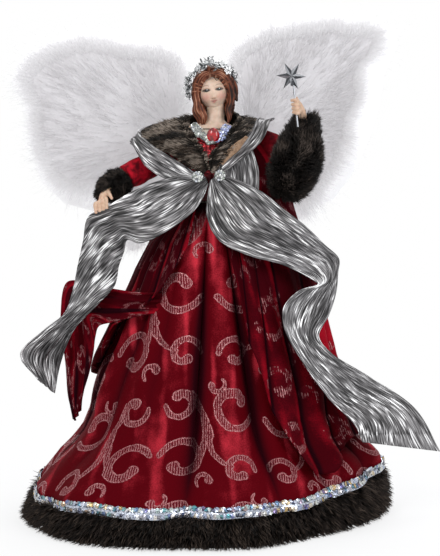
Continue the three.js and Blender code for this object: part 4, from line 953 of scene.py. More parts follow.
def pleated_piece(name, upper, lower, columns, rows, wall, seed, bulge=0.0, edge=None, slant=(0, 0)):
    """Ribbon between two edges, moved along its normal by pleats that wander, join and run out.

    The height is a sum of ridges 1 - 2 |noise|, 6, 3 and 2 mm wide and about ten times as long. They run
    along the ribbon, and aslant where slant gives a shift in millimetres for its shares.
    """
    across, along = np.linspace(0, 1, columns)[None, :], np.linspace(0, 1, rows)
    flat, normals = ribbon_frame(upper, lower, across, along)
    uv, length, width = ribbon_pattern(upper, lower, across, along)
    y = uv[..., 1]
    x = across * width + np.interp(y / length, np.linspace(0, 1, len(slant)), slant)
    wander = 3 * lattice_noise(x / 30, y / 38, seed)
    height = 0.0
    for step, (wide, long, weight) in enumerate(((6.0, 70, 0.7), (3.0, 40, 0.8), (1.7, 24, 0.5))):
        ridge = 1 - 2 * np.abs(lattice_noise((x + wander) / wide, y / long + 9 * step, seed + step))
        height = height + weight * ridge
    inner = np.clip(np.minimum(across, 1 - across) * 14, 0.15, 1)
    # Painted light and shade of the pleats: higher on their ridges, lower in their hollows
    valley = np.clip((height + 0.6) / 2.4, 0, 1)
    if edge is not None:
        hemmed = np.clip((y - (length - edge)) / 1.5, 0, 1)
        seam = np.exp(-((y - (length - edge)) / 0.7) ** 2)
        height = height * (1 - 0.8 * hemmed) - 0.8 * seam
        valley = (valley * (1 - hemmed) + 0.7 * hemmed) * (1 - 0.9 * seam)
    puff = bulge * np.sin(np.pi * across) * np.sin(np.pi * np.clip(along, 0, 1))[:, None] ** 0.5
    points = flat + normals * (height * inner + puff)[..., None]
    uv = np.stack([x + wander, y], -1)
    piece = grid_piece(name, points, lame_material, uv=uv, values={"pleat": valley})
    thicken(piece, wall)
    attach(piece, "figure")
    return piece, length, width


right_drape_upper_shares = [
    [0.05, -0.213, 0.768], [0.26, -0.224, 0.729], [0.392, -0.229, 0.685], [0.494, -0.229, 0.652],
    [0.605, -0.201, 0.607], [0.68, -0.182, 0.575], [0.673, -0.215, 0.547], [0.661, -0.248, 0.504],
    [0.624, -0.281, 0.456], [0.567, -0.319, 0.409], [0.631, -0.295, 0.371], [0.832, -0.236, 0.315],
    [1.094, -0.177, 0.235], [1.228, -0.165, 0.138],
]
right_drape_lower_shares = [
    [0.0, -0.222, 0.748], [-0.016, -0.272, 0.677], [0.046, -0.343, 0.622], [0.208, -0.397, 0.589],
    [0.361, -0.402, 0.572], [0.482, -0.378, 0.547], [0.553, -0.397, 0.528], [0.451, -0.472, 0.515],
    [0.376, -0.496, 0.48], [0.385, -0.515, 0.431], [0.451, -0.529, 0.379], [0.602, -0.515, 0.287],
    [0.739, -0.524, 0.228], [0.78, -0.539, 0.191],
]
left_drape_upper_shares = [
    [-0.034, -0.213, 0.768], [-0.22, -0.224, 0.756], [-0.364, -0.236, 0.734], [-0.465, -0.246, 0.712],
    [-0.536, -0.25, 0.693], [-0.633, -0.25, 0.671], [-0.661, -0.243, 0.619], [-0.69, -0.236, 0.565],
    [-0.728, -0.236, 0.492], [-0.765, -0.236, 0.456], [-0.872, -0.246, 0.419], [-0.997, -0.255, 0.363],
    [-0.905, -0.246, 0.309],
]
left_drape_lower_shares = [
    [-0.006, -0.222, 0.742], [-0.062, -0.29, 0.694], [-0.19, -0.354, 0.65], [-0.357, -0.378, 0.616],
    [-0.425, -0.354, 0.622], [-0.444, -0.331, 0.595], [-0.472, -0.307, 0.563], [-0.494, -0.298, 0.521],
    [-0.588, -0.283, 0.476], [-0.702, -0.255, 0.425], [-0.749, -0.224, 0.388], [-0.794, -0.194, 0.334],
    [-0.824, -0.18, 0.272],
]
left_lapel_inner_shares = [
    [0, 0.078, 0.892], [-0.062, 0.072, 0.892], [-0.119, 0.045, 0.878], [-0.15, 0.006, 0.864],
    [-0.155, -0.023, 0.855], [-0.112, -0.07, 0.819], [-0.057, -0.086, 0.784], [-0.017, -0.092, 0.757],
]
left_lapel_outer_shares = [
    [0, 0.082, 0.812], [-0.085, 0.076, 0.808], [-0.15, 0.045, 0.812], [-0.18, 0.006, 0.83],
    [-0.171, -0.03, 0.824], [-0.14, -0.066, 0.779], [-0.093, -0.086, 0.753], [-0.024, -0.094, 0.752],
]
right_lapel_inner_shares = [
    [0.004, 0.078, 0.892], [0.06, 0.072, 0.892], [0.1, 0.045, 0.888], [0.118, 0.006, 0.888],
    [0.106, -0.027, 0.886], [0.091, -0.062, 0.859], [0.047, -0.083, 0.811], [0.013, -0.091, 0.776],
]
right_lapel_outer_shares = [
    [0.004, 0.082, 0.812], [0.08, 0.08, 0.83], [0.124, 0.05, 0.874], [0.146, 0.01, 0.887],
    [0.137, -0.034, 0.884], [0.116, -0.073, 0.839], [0.074, -0.087, 0.8], [0.023, -0.094, 0.762],
]
# Side, both edges, columns, rows, seed, breadth of the hem, and how far each pleat's foot slants
drapes = [
    ("right", right_drape_upper_shares, right_drape_lower_shares, 150, 180, 31, 11.0, (0, 0)),
    ("left", left_drape_upper_shares, left_drape_lower_shares, 140, 160, 47, None,
     (0, 0, 0, 5, 17, 30, 38, 40, 38)),
]
for side_name, upper_shares, lower_shares, columns, rows, seed, edge, slant in drapes:
    drape, run, breadth = pleated_piece(
        f"silver_drape_{side_name}", on_skirt(upper_shares), on_skirt(lower_shares), columns, rows, 0.7, seed,
        edge=edge, slant=slant,
    )
    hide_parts(f"stole_drape_{side_name}")
# Under the right lapel the cloth hangs in upright pleats down to the swath
breast_left_shares = [[0.016, -0.088, 0.79], [0.03, -0.096, 0.74], [0.045, -0.094, 0.69]]
breast_right_shares = [[0.092, -0.07, 0.826], [0.109, -0.075, 0.77], [0.104, -0.086, 0.68]]
breast, run, breadth = pleated_piece(
    "silver_breast_fall", on_figure(breast_left_shares), on_figure(breast_right_shares), 70, 90, 0.7, 88, 2.0
)
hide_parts("stole_lapel_right")
lapels = [
    ("left", left_lapel_inner_shares, left_lapel_outer_shares, 61),
    ("right", right_lapel_inner_shares, right_lapel_outer_shares, 73),
]
for side_name, inner_shares, outer_shares, seed in lapels:
    lapel, run, breadth = pleated_piece(
        f"silver_lapel_{side_name}", on_figure(inner_shares), on_figure(outer_shares), 84, 140, 0.7, seed, 1.0
    )
    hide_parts(f"stole_lapel_{side_name}")


# Fur collar: a shawl of the same brown fur round the neck, down to the tie at the breast. Its hairs
# lie outwards over the lapels.
collar_inner_shares = [
    [-0.006, -0.079, 0.772], [-0.008, -0.078, 0.8], [-0.027, -0.06, 0.829], [-0.042, -0.034, 0.854],
    [-0.05, 0.004, 0.872], [-0.03, 0.034, 0.892], [0.007, 0.04, 0.896], [0.044, 0.034, 0.898],
    [0.062, 0.004, 0.884], [0.052, -0.034, 0.862], [0.03, -0.06, 0.83], [0.004, -0.077, 0.802],
    [0.0, -0.079, 0.772],
]
collar_outer_shares = [
    [-0.014, -0.081, 0.768], [-0.05, -0.08, 0.79], [-0.101, -0.066, 0.817], [-0.145, -0.03, 0.84],
    [-0.142, 0.006, 0.848], [-0.1, 0.048, 0.85], [0.003, 0.058, 0.85], [0.085, 0.048, 0.852],
    [0.108, 0.006, 0.858], [0.1, -0.03, 0.858], [0.072, -0.062, 0.838], [0.036, -0.078, 0.808],
    [0.008, -0.081, 0.768],
]


def slab_form(upper, lower, thickness_at, columns, rows, values):
    """Closed pad between two edges: each section runs over the front from edge to edge and back behind."""
    around = np.linspace(0, 2, 2 * columns, endpoint=False)
    across = np.where(around < 1, around, 2 - around)[None, :]
    face = np.where((around > 0) & (around < 1), 1, np.where(around > 1, -1, 0))[None, :]
    flat, normals = ribbon_frame(upper, lower, across, np.linspace(0, 1, rows))
    proud = face * thickness_at(across) / 2
    return grid_form(flat + normals * proud[..., None], values)


def collar_pile(across):
    return 0.8 + 4.4 * np.sin(np.pi * across) ** 0.7


collar_rng = np.random.default_rng(8)
collar_hairs = 11000
collar_edges = on_figure(collar_inner_shares), on_figure(collar_outer_shares)
collar_base = slab_form(*collar_edges, collar_pile, 10, 110, {"along": 0.05, "shade": 0.3})
collar_steps = 600
collar_along = np.linspace(0, 1, collar_steps)
collar_run, collar_normal = ribbon_frame(*collar_edges, np.array([[0.0, 1.0]]), collar_along)
# Towards the front of the angel, or up where the collar lies on the shoulders
collar_faces = np.sign(np.sum(collar_normal[:, 0] * (collar_run.mean(1) - [[2.4, 0, 262]]), -1)).mean()
pick_along = collar_rng.uniform(0.0, 1.0, collar_hairs)
pick_across = collar_rng.uniform(0.0, 1.0, collar_hairs) ** 1.2
index = (pick_along * (collar_steps - 1)).astype(int)
part_across = pick_across[:, None]
collar_root = collar_run[index, 0] * (1 - part_across) + collar_run[index, 1] * part_across
collar_out = collar_normal[index, 0] * np.sign(collar_faces)
collar_root = collar_root + collar_out * (collar_pile(pick_across) / 2)[:, None]
outwards = unit(collar_run[index, 1] - collar_run[index, 0])
lengthwise = unit(np.gradient(collar_run.mean(1), axis=0))[index]
comb = lattice_noise(pick_along * 60, pick_across * 3, 6)
inward = pick_across < collar_rng.uniform(0.0, 0.22, collar_hairs)
standing = (0.4 + 0.3 * lattice_noise(pick_along * 40, pick_across * 4, 7)
            + 0.5 * np.abs(collar_rng.normal(0, 0.6, collar_hairs)))
astray = 0.35 * comb + collar_rng.normal(0, 0.1, collar_hairs)
collar_way = unit(outwards * np.where(inward, -0.6, 1)[:, None] + collar_out * standing[:, None]
                  + lengthwise * astray[:, None] + collar_rng.normal(0, 0.08, (collar_hairs, 3)))
collar_length = collar_rng.uniform(7.0, 12.5, collar_hairs)
collar_length = collar_length * np.interp(pick_along, [0, 0.1, 0.9, 1], [0.45, 1, 1, 0.45])
collar_length = collar_length * np.where(inward, 0.32, 1 - 0.35 * pick_across)
collar_tip = collar_root + collar_way * collar_length[:, None]
collar_tuft = np.round(pick_along * 96 + 3 * pick_across) - 3 * pick_across
collar_tip = collar_tip + lengthwise * ((collar_tuft / 96 - pick_along) * 170)[:, None]
tuft_number = np.round(collar_tuft).astype(int) % 100
tuft_shade = collar_rng.normal(0, 0.36, 100)[tuft_number] + collar_rng.normal(0, 0.15, collar_hairs)
collar_width = collar_rng.uniform(0.5, 0.95, collar_hairs)
# Painted shade darkens the right side of the collar
collar_shade = np.clip(0.44 + 0.7 * comb + tuft_shade - 0.3 * (collar_root[:, 0] > 6), 0, 1)
collar_form = joined(collar_base, spikes(
    collar_root - 0.6 * collar_out, collar_tip, collar_width, collar_shade, collar_out * 0.7,
))
collar_fur_colour = fur("collar_fur", srgb(6, 4, 2), srgb(84, 70, 60), srgb(186, 172, 158))
collar = form_piece("shawl_fur_collar", collar_form, collar_fur_colour)
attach(collar, "figure")
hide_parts("fur_collar")


# Wings: a card shape covered on both faces with long white down. The down lies flat on the faces and
# stands out round the rim, where it thins to single wisps. Card and down carry a faint painted glow.
card = paint_named("wing_card")
card_speck = card.noise(1.2, 3.0)
# A faint painted glow keeps the card near white
card_material = card.finish({
    "Base Color": card.blend(card_speck, srgb(236, 235, 235), srgb(246, 246, 247)),
    "Roughness": 0.85 - 0.1 * card_speck,
    "Emission Color": card.blend(card_speck, srgb(236, 235, 236), srgb(244, 244, 246)),
    "Emission Strength": 0.22,
    "Normal": card.bump(card_speck, 0.08, 0.5),
})
paint_nodes(("wing_card_left", "wing_card_right"), card_material)

down = paint_named("white_down")
down_along = down.attribute("along")
down_patch = down.noise(26.0, 2.0)
down_fine = down.noise(2.5, 2.0)
down_cloud = (down_patch * 0.6 + down_fine * 0.4).ramp(0.25, 0.75)
# Painted shade: the white down is painted grey over the wing's body, and only the tips round the rim stay
# white
down_grey = down.blend(down_cloud, srgb(190, 187, 189), srgb(203, 201, 203))
down_colour = down.blend(down_along.ramp(0.35, 1.0), down_grey, srgb(250, 250, 250))
# Painted glow: light that the down would let through from behind is painted as a faint glow, most of all in
# its rim
down_material = down.finish({
    "Base Color": down_colour,
    "Roughness": 0.9,
    "Specular IOR Level": 0.15,
    "Subsurface Weight": 0.5,
    "Subsurface Radius": (1.0, 1.0, 1.0),
    "Subsurface Scale": 0.003,
    "Emission Color": down.blend(down.attribute("rim"), srgb(150, 147, 150), srgb(250, 250, 252)),
    "Emission Strength": 0.36,
    "Alpha": 1 - down_along.ramp(0.5, 1.0) * 0.5,
})
wing_plane = 45.204
card_half, wing_gap = 0.8, 0.3
# Outlines of the dense down in millimetres, right and up
left_wing_rim = [
    (-20, 358), (-27, 368), (-45, 373), (-62, 374.5), (-78, 376.5), (-89, 379.5), (-107, 380), (-122, 378),
    (-138, 371.5), (-152, 363), (-160.5, 352), (-160, 346), (-152, 334), (-148.5, 325), (-150.5, 315),
    (-150, 305), (-148, 290), (-144, 280), (-139, 270), (-134, 261), (-126, 254), (-117, 250), (-107, 249),
    (-97, 249), (-90, 241), (-82, 226), (-74, 211), (-66, 203), (-58, 204), (-50, 222), (-38, 248),
    (-26, 264), (-16, 284), (-12, 320),
]
right_wing_rim = [
    (16, 366), (28, 377.5), (48, 387), (71, 390.5), (96, 394.5), (104, 396.5), (113.5, 393), (131, 391),
    (144, 389.5), (143, 381), (138, 372), (130.5, 364), (127, 355), (126, 345), (128, 336), (125, 325),
    (117.5, 312), (115, 301), (116, 292), (109, 280), (105, 267), (96.5, 255), (87, 241), (77, 230),
    (66, 228), (52, 244), (36, 262), (20, 282), (15, 320),
]


def closed_rim(places, count):
    """Evenly spaced points on the closed curve through the places."""
    places = np.array(places, float)
    ring = np.vstack([places[-2:], places, places[:3]])
    fine = spline(np.column_stack([ring[:, 0], 0 * ring[:, 0], ring[:, 1]]), np.linspace(0, 1, 6000))
    spans = len(ring) - 1
    fine = fine[int(6000 * 2 / spans):int(6000 * (2 + len(places)) / spans)]
    run = np.concatenate([[0], np.cumsum(np.linalg.norm(np.diff(fine, axis=0), axis=1))])
    even = np.linspace(0, run[-1], count, endpoint=False)
    return np.stack([np.interp(even, run, fine[:, i]) for i in range(3)], -1)


def wing_half(name, rim_places, facing, hub, lean, seed, hairs):
    """One face of down: a low cushion, flat on the card, and hairs that lie outwards from the wing's root."""
    rng = np.random.default_rng(seed)
    rim_count = 200
    rim = closed_rim(rim_places, rim_count)
    centre = rim.mean(0)
    back = wing_plane + facing * (card_half + wing_gap)
    # Rings from the middle of the flat side out to the rim and over the rounded side
    out = np.array([0.1, 0.5, 0.93, 0.955, 0.95, 0.93, 0.87, 0.78, 0.64, 0.45, 0.25, 0.08])[:, None, None]
    proud = np.array([0, 0, 0, 1.2, 2.4, 3.3, 4.3, 5.1, 5.8, 6.2, 6.4, 6.5])[:, None]
    dents = lattice_noise(np.arange(rim_count) / 2.2, 0 * rim[:, 0], seed + 8)
    ragged = 1 + 0.04 * (out > 0.87) * np.abs(dents)[:, None]
    points = centre + (rim - centre)[None] * out * ragged
    lumps = 1 + 0.12 * lattice_noise(points[..., 0] / 14, points[..., 2] / 14, seed + 2)
    points[..., 1] = back + facing * proud * lumps
    at_rim = 0.3 + 0.7 * np.clip((out[:, :, 0] - 0.75) / 0.2, 0, 1)
    base = grid_form(points, {"along": 0.2, "shade": 0.5, "rim": at_rim})
    place = rng.uniform(0, 1, hairs)
    at_edge = rng.uniform(0, 1, hairs) < 0.45
    share = np.where(at_edge, rng.uniform(0.8, 0.96, hairs), np.sqrt(rng.uniform(0, 0.85, hairs)))
    ring = np.vstack([rim, rim[:1]])
    spot, after = [
        np.stack([np.interp(number % rim_count, np.arange(rim_count + 1), column) for column in ring.T], -1)
        for number in (place * rim_count, place * rim_count + 1)
    ]
    root = centre + (spot - centre) * share[:, None]
    height = np.interp(share, [0, 0.25, 0.45, 0.64, 0.78, 0.88, 0.95, 0.985, 1],
                       [6.5, 6.4, 6.2, 5.8, 5.1, 4.3, 3.3, 2.4, 1.2])
    sunk = np.where(share > 0.8, rng.uniform(0.85, 1.4, hairs), rng.uniform(0.35, 1.0, hairs))
    root[:, 1] = back + facing * height * sunk
    along_rim = unit(after - spot)
    normal = np.cross(along_rim, [0, 1.0, 0])
    normal = normal * np.sign(np.sum(normal * (spot - centre), -1))[:, None]
    from_hub = unit((root - np.array(hub)) * [1, 0, 1])
    edge = np.clip((share - 0.7) / 0.25, 0, 1)[:, None]
    swirl = lattice_noise(root[:, 0] / 11, root[:, 2] / 11, seed + 5)
    way = unit(unit(normal * edge + from_hub * (1 - 0.55 * edge)) + np.array(lean) * edge
               + along_rim * (0.45 * swirl * edge[:, 0] + rng.normal(0, 0.2, hairs))[:, None]
               + np.array([0, 1.0, 0]) * (facing * rng.normal(0.04, 0.06, hairs))[:, None])
    length = np.where(share > 0.8, rng.gamma(2.2, 3.0, hairs), rng.uniform(9, 17, hairs))
    length = np.minimum(length, 24) * (1 + 0.3 * swirl * edge[:, 0])
    # Hairs end short of the other wing, also when one of the wings is swung back
    side = np.sign(centre[0])
    room = side * root[:, 0] - 5.0 - 1.5 * swirl
    length = np.minimum(length, np.maximum(room, 1.5) / np.maximum(-side * way[:, 0], 0.01))
    tips = root + way * length[:, None]
    tips[:, 1] = np.clip(tips[:, 1], back - 9 * (facing < 0), back + 9 * (facing > 0))
    width = np.where(share > 0.8, rng.uniform(0.3, 0.6, hairs), rng.uniform(0.3, 0.7, hairs))
    bend = np.array([0, 1.0, 0]) * (facing * 0.8) + along_rim * rng.normal(0, 0.9, hairs)[:, None]
    hair_form = spikes(root, tips, width, rng.uniform(0, 1, hairs), bend)
    hair_form[3]["rim"] = np.repeat(0.3 + 0.7 * edge[:, 0], 7)
    form = joined(base, hair_form)
    form[3]["along"][len(base[0]):] *= np.repeat(0.35 + 0.65 * edge[:, 0], 7)
    return form_piece(name, form, down_material)


wing_halves = [
    ("left", left_wing_rim, (-22.0, wing_plane, 290.0), (-0.15, 0.0, -0.12)),
    ("right", right_wing_rim, (24.0, wing_plane, 288.0), (0.1, 0.0, 0.0)),
]
for side_name, rim_places, hub, lean in wing_halves:
    for face_name, facing, hairs in (("front", -1, 17500), ("back", 1, 9500)):
        seed = len(side_name) * 7 + hairs % 97
        half = wing_half(f"down_{face_name}_{side_name}", rim_places, facing, hub, lean, seed, hairs)
        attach(half, f"wing_{side_name}")
        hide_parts(f"wing_{face_name}_down_{side_name}")


# Bodice: a fitted piece of red metal thread cloth, glued round the torso block. It shows in the
# opening of the collar, lightly ruched.
red_lame = paint_named("red_lame")
ruche = red_lame.noise(2.4, 3.0, stretch=(1, 1, 2.2))
spark = red_lame.noise(0.5, 1.0)
# Painted light and shade of the ruches, with painted glints of the thread
red_lame_colour = red_lame.node("ValToRGB", {"stops": [
    (0.0, srgb(52, 0, 8)), (0.45, srgb(126, 4, 22)), (0.75, srgb(196, 20, 40)), (1.0, srgb(250, 140, 140)),
]}, {"Fac": (ruche * 0.7 + spark * 0.3).ramp(0.32, 0.72)})
# Painted shade: the bodice is darker below 264 mm, towards the waist
red_lame_low = red_lame.parts(red_lame.places())[2].ramp(264, 274)
red_lame_material = red_lame.finish({
    "Base Color": red_lame.blend(red_lame_low, srgb(64, 0, 8), red_lame_colour),
    "Metallic": 0.55,
    "Roughness": 0.4 - 0.15 * spark,
    "Normal": red_lame.bump(ruche, 0.9, 0.7),
})
bodice_top = 0.844 * figure_height
bodice_angle = np.linspace(-np.pi, np.pi, 160, endpoint=False)[None, :]
bodice_height = np.linspace(waist + 1.2, bodice_top, 60)[:, None]
bodice_radius = torso_radius(bodice_angle, bodice_height, clearance + 0.9)
bodice_ruche = (0.5 * lattice_noise(bodice_angle * 9, bodice_height / 2.2, 15)
                + 0.35 * np.cos(34 * bodice_angle))
bodice = grid_piece(
    "lame_bodice", around_axis(bodice_radius + 0.6 * bodice_ruche, bodice_angle, bodice_height),
    red_lame_material, wrap=True,
)
thicken(bodice, 0.5)
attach(bodice, "figure")
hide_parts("bodice")


# Head, neck and bust: one hollow cast in pale resin with painted eyes, brows, cheeks and lips. The
# neck stands in the collar, and the head leans a little to the left.
head_centre = np.array([2.4, 0.0, 333.8])
head_radii = np.array([11.6, 12.4, 14.0])
head_roll = math.radians(7.5)


def leaned(points):
    """Points that are given from the middle of the upright head, turned with its lean and put in place."""
    x, y, z = np.moveaxis(np.asarray(points, float), -1, 0)
    cosine, sine = math.cos(head_roll), math.sin(head_roll)
    return np.stack([x * cosine - z * sine, y, x * sine + z * cosine], -1) + head_centre


def bell(value, middle, width):
    return np.exp(-(((value - middle) / width) ** 2))


def face_share(way):
    """Share by which a direction's radius grows: nose, lips, chin and cheeks out, sockets and jaw in."""
    x, y, z = np.moveaxis(way, -1, 0)
    side, front = np.abs(x), np.clip(-2.2 * y, 0, 1)
    nose = (0.05 * bell(x, 0, 0.085) * np.clip((0.2 - z) / 0.5, 0, 1) * bell(z, -0.1, 0.34)
            + 0.105 * bell(x, 0, 0.1) * bell(z, -0.33, 0.1)
            + 0.035 * bell(side, 0.11, 0.05) * bell(z, -0.37, 0.05))
    lips = (0.03 * bell(x, 0, 0.19) * bell(z, -0.525, 0.04) + 0.036 * bell(x, 0, 0.15) * bell(z, -0.62, 0.045)
            - 0.03 * bell(x, 0, 0.2) * bell(z, -0.572, 0.02))
    eyes = (-0.05 * bell(side, 0.45, 0.2) * bell(z, 0.1, 0.12)
            + 0.036 * bell(side, 0.46, 0.13) * bell(z, 0.07, 0.07))
    chin = 0.05 * bell(x, 0, 0.26) * bell(z, -0.87, 0.13) - 0.018 * bell(x, 0, 0.2) * bell(z, -0.72, 0.04)
    cheeks = (0.02 * bell(side, 0.5, 0.22) * bell(z, -0.25, 0.2)
              - 0.085 * bell(side, 0.78, 0.3) * bell(z, -0.72, 0.3))
    return 1 + front * (nose + lips + eyes + chin + cheeks)


def sphere_ways(columns, rows):
    """Unit directions over a ball: turning from the front to the right, and from the foot to the top."""
    latitude = np.pi * ((np.arange(rows) + 0.5) / rows - 0.5)[:, None]
    turn = np.linspace(-np.pi, np.pi, columns, endpoint=False)[None, :]
    return around_axis(np.cos(latitude), turn, np.sin(latitude))


skin = paint_named("painted_skin")
skin_x, _, skin_z = skin.parts(skin.places())
from_x, from_z = skin_x - (head_centre[0] + axis_place[0] * 1000), skin_z - head_centre[2]
face_x = from_x * math.cos(head_roll) + from_z * math.sin(head_roll)
face_z = from_z * math.cos(head_roll) - from_x * math.sin(head_roll)
mirrored_x = abs(face_x)


def dab(across, up, middle, radii, soft=0.25):
    """1 inside an ellipse on the face, fading to 0 over a share of its radius."""
    reach = (((across - middle[0]) / radii[0]) ** 2.0 + ((up - middle[1]) / radii[1]) ** 2.0) ** 0.5
    return 1 - reach.ramp(1 - soft, 1 + soft)


skin_tone = skin.noise(3.0, 2.0)
face_colour = skin.blend(skin_tone.ramp(0.3, 0.7), srgb(204, 176, 154), srgb(218, 192, 172))
cheek = dab(mirrored_x, face_z, (6.2, -4.4), (3.4, 2.8), 0.9)
face_colour = skin.blend(cheek * 0.5, face_colour, srgb(226, 152, 138))
brow_arc = abs(face_z - 4.9 + (mirrored_x - 5.4) ** 2.0 * 0.1)
brow = (1 - brow_arc.ramp(0.1, 0.55)) * (mirrored_x > 2.6) * (mirrored_x < 8.0)
face_colour = skin.blend(brow * 0.55, face_colour, srgb(110, 66, 44))
# Lid, outline, white, iris and pupil of the eyes: middle, radii, softness, strength and colour
for middle, radii, soft, strength, colour in [
    ((5.1, 1.7), (3.2, 1.5), 0.35, 0.5, (150, 104, 80)),
    ((5.2, 1.0), (3.2, 1.2), 0.2, 1.0, (40, 26, 20)),
    ((5.3, 0.7), (2.4, 0.65), 0.2, 0.4, (160, 142, 126)),
    ((4.95, 1.0), (1.8, 1.25), 0.2, 1.0, (44, 34, 20)),
    ((4.95, 1.0), (1.25, 1.05), 0.25, 1.0, (8, 6, 6)),
]:
    dabbed = dab(mirrored_x, face_z, middle, radii, soft) * strength
    face_colour = skin.blend(dabbed, face_colour, srgb(*colour))
eye_light = dab(face_x, face_z, (5.5, 1.55), (0.34, 0.3), 0.3).math(
    "MAXIMUM", dab(face_x, face_z, (-4.5, 1.55), (0.34, 0.3), 0.3)
)
face_colour = skin.blend(eye_light, face_colour, srgb(250, 250, 250))
upper_lip = dab(mirrored_x, face_z, (1.0, -7.4), (1.8, 0.62), 0.35)
lower_lip = dab(face_x, face_z, (0.0, -8.5), (1.5, 0.75), 0.3)
face_colour = skin.blend(upper_lip.math("MAXIMUM", lower_lip) * 0.7, face_colour, srgb(184, 116, 106))
mouth_line = dab(face_x, face_z, (0.0, -7.9), (2.1, 0.24), 0.4)
face_colour = skin.blend(mouth_line, face_colour, srgb(112, 44, 40))
nose_shadow = dab(face_x, face_z, (0.0, -5.5), (2.2, 0.8), 0.6)
face_colour = skin.blend(nose_shadow * 0.4, face_colour, srgb(196, 144, 120))
# Painted shade in the nostrils
nostril_shade = dab(mirrored_x, face_z, (0.85, -5.75), (0.42, 0.26), 0.5)
face_colour = skin.blend(nostril_shade * 0.7, face_colour, srgb(150, 90, 72))
# The painted curl on the brow bends from (1.9, 11.4) down to (4.4, 7.6)
curl_line = abs(face_x - 2.0 - (11.4 - face_z) * 0.35 - (11.4 - face_z) ** 2.0 * 0.08)
curl = (1 - curl_line.ramp(0.2, 0.55)) * (face_z > 7.6) * (face_z < 12.2)
only_front = skin.parts(skin.places())[1] < -2.0
skin_colour = skin.blend(only_front, skin.blend(skin_tone, srgb(204, 176, 154), srgb(218, 192, 172)),
                         skin.blend(curl * 0.9, face_colour, srgb(62, 30, 18)))
skin_material = skin.finish({
    "Base Color": skin_colour,
    "Roughness": 0.42 + 0.1 * skin_tone,
    "Subsurface Weight": 0.12,
    "Subsurface Scale": 0.002,
    "Normal": skin.bump(skin.noise(0.8, 2.0), 0.05, 0.3),
})
head_ways = sphere_ways(160, 110)
head_form = grid_form(leaned(head_ways * head_radii * face_share(head_ways)[..., None]))
bust_foot, neck_top = 0.864 * figure_height + clearance, 327.0
# Half width, half depth and share of the way up to the neck's top
bust_table = np.array([
    [20.6, 11.2, 0], [19.5, 10.9, 0.05], [15.8, 9.8, 0.13], [11.2, 8.0, 0.22], [8.6, 7.0, 0.32],
    [7.4, 6.6, 0.45], [6.9, 6.3, 0.62], [6.9, 6.3, 0.8], [7.2, 6.5, 1.0],
])
bust_rows = spline(bust_table, np.linspace(0, 1, 44))[:, None]
bust_turn = np.linspace(-np.pi, np.pi, 80, endpoint=False)[None, :]
bust_x = bust_rows[..., 0] * np.sin(bust_turn) + 4.4 * np.minimum(1, 2 * bust_rows[..., 2])
bust_y = -bust_rows[..., 1] * np.cos(bust_turn) * (1 + 0.04 * np.cos(2 * bust_turn))
bust_z = bust_foot + (neck_top - bust_foot) * bust_rows[..., 2] + 0 * bust_turn
bust_form = grid_form(np.stack([bust_x, bust_y, bust_z], -1))
bust = new_piece("painted_head", *joined(head_form, bust_form)[:3], skin_material)
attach(bust, "figure")
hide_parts("head_and_bust")


# Hair: auburn paint over moulded waves. A grooved cap is combed from the parting to both sides, and
# thick locks fall in front of the ears to the collar.
auburn = paint_named("auburn_hair")
groove = auburn.attribute("groove")
auburn_patch = auburn.noise(4.0, 2.0)
# Painted shade in the grooves and on the right of the head, and painted highlights on the waves
auburn_colour = auburn.node("ValToRGB", {"stops": [
    (0.0, srgb(26, 10, 5)), (0.35, srgb(88, 42, 24)), (0.7, srgb(128, 72, 48)), (1.0, srgb(178, 134, 108)),
]}, {"Fac": groove * 1.05 + (auburn_patch - 0.5) * 0.7 + (auburn.noise(11.0, 1.0) - 0.5) * 1.3 - 0.03
         - auburn.parts(auburn.places())[0].ramp(4, 12) * 0.3})
auburn_material = auburn.finish({
    "Base Color": auburn_colour,
    "Roughness": 0.42 + 0.15 * auburn_patch,
    "Specular IOR Level": 0.25,
    "Normal": auburn.bump(auburn.noise(0.6, 3.0), 0.12, 0.4),
})


def tube(path, radii, columns, rows, flat=1.0, section=None, reference=(0.0, 1.0, 0.0)):
    """Points round a path. The radius comes from a table; flat squeezes it along the second side."""
    share = np.linspace(0, 1, rows)
    middle = spline(path, share)
    run = unit(np.gradient(middle, axis=0))
    first = unit(np.cross(run, reference))
    second = np.cross(run, first)
    turn = np.linspace(0, 2 * np.pi, columns, endpoint=False)[None, :]
    radius = np.interp(share, np.linspace(0, 1, len(radii)), radii)[:, None]
    if section is not None:
        radius = radius * section(turn, share[:, None])
    return (middle[:, None] + (radius * np.cos(turn))[..., None] * first[:, None]
            + (flat * radius * np.sin(turn))[..., None] * second[:, None])


def lock_section(turn, share):
    return 1 + 0.1 * np.cos(5 * turn + 5 * share) + 0.07 * np.cos(11 * turn - 4 * share)


def lock(path, radii, columns=40, rows=44, flat=0.8):
    """One tapered lock whose grooves twist slowly round it."""
    turn = np.linspace(0, 2 * np.pi, columns, endpoint=False)[None, :]
    share = np.linspace(0, 1, rows)[:, None]
    # Painted light follows the grooves: low in them, high on the waves
    height = (lock_section(turn, share) - 0.8) / 0.4
    return grid_form(leaned(tube(path, radii, columns, rows, flat, lock_section)), {"groove": height})


hair_ways = sphere_ways(220, 130)
hair_x, hair_y, hair_z = np.moveaxis(hair_ways, -1, 0)
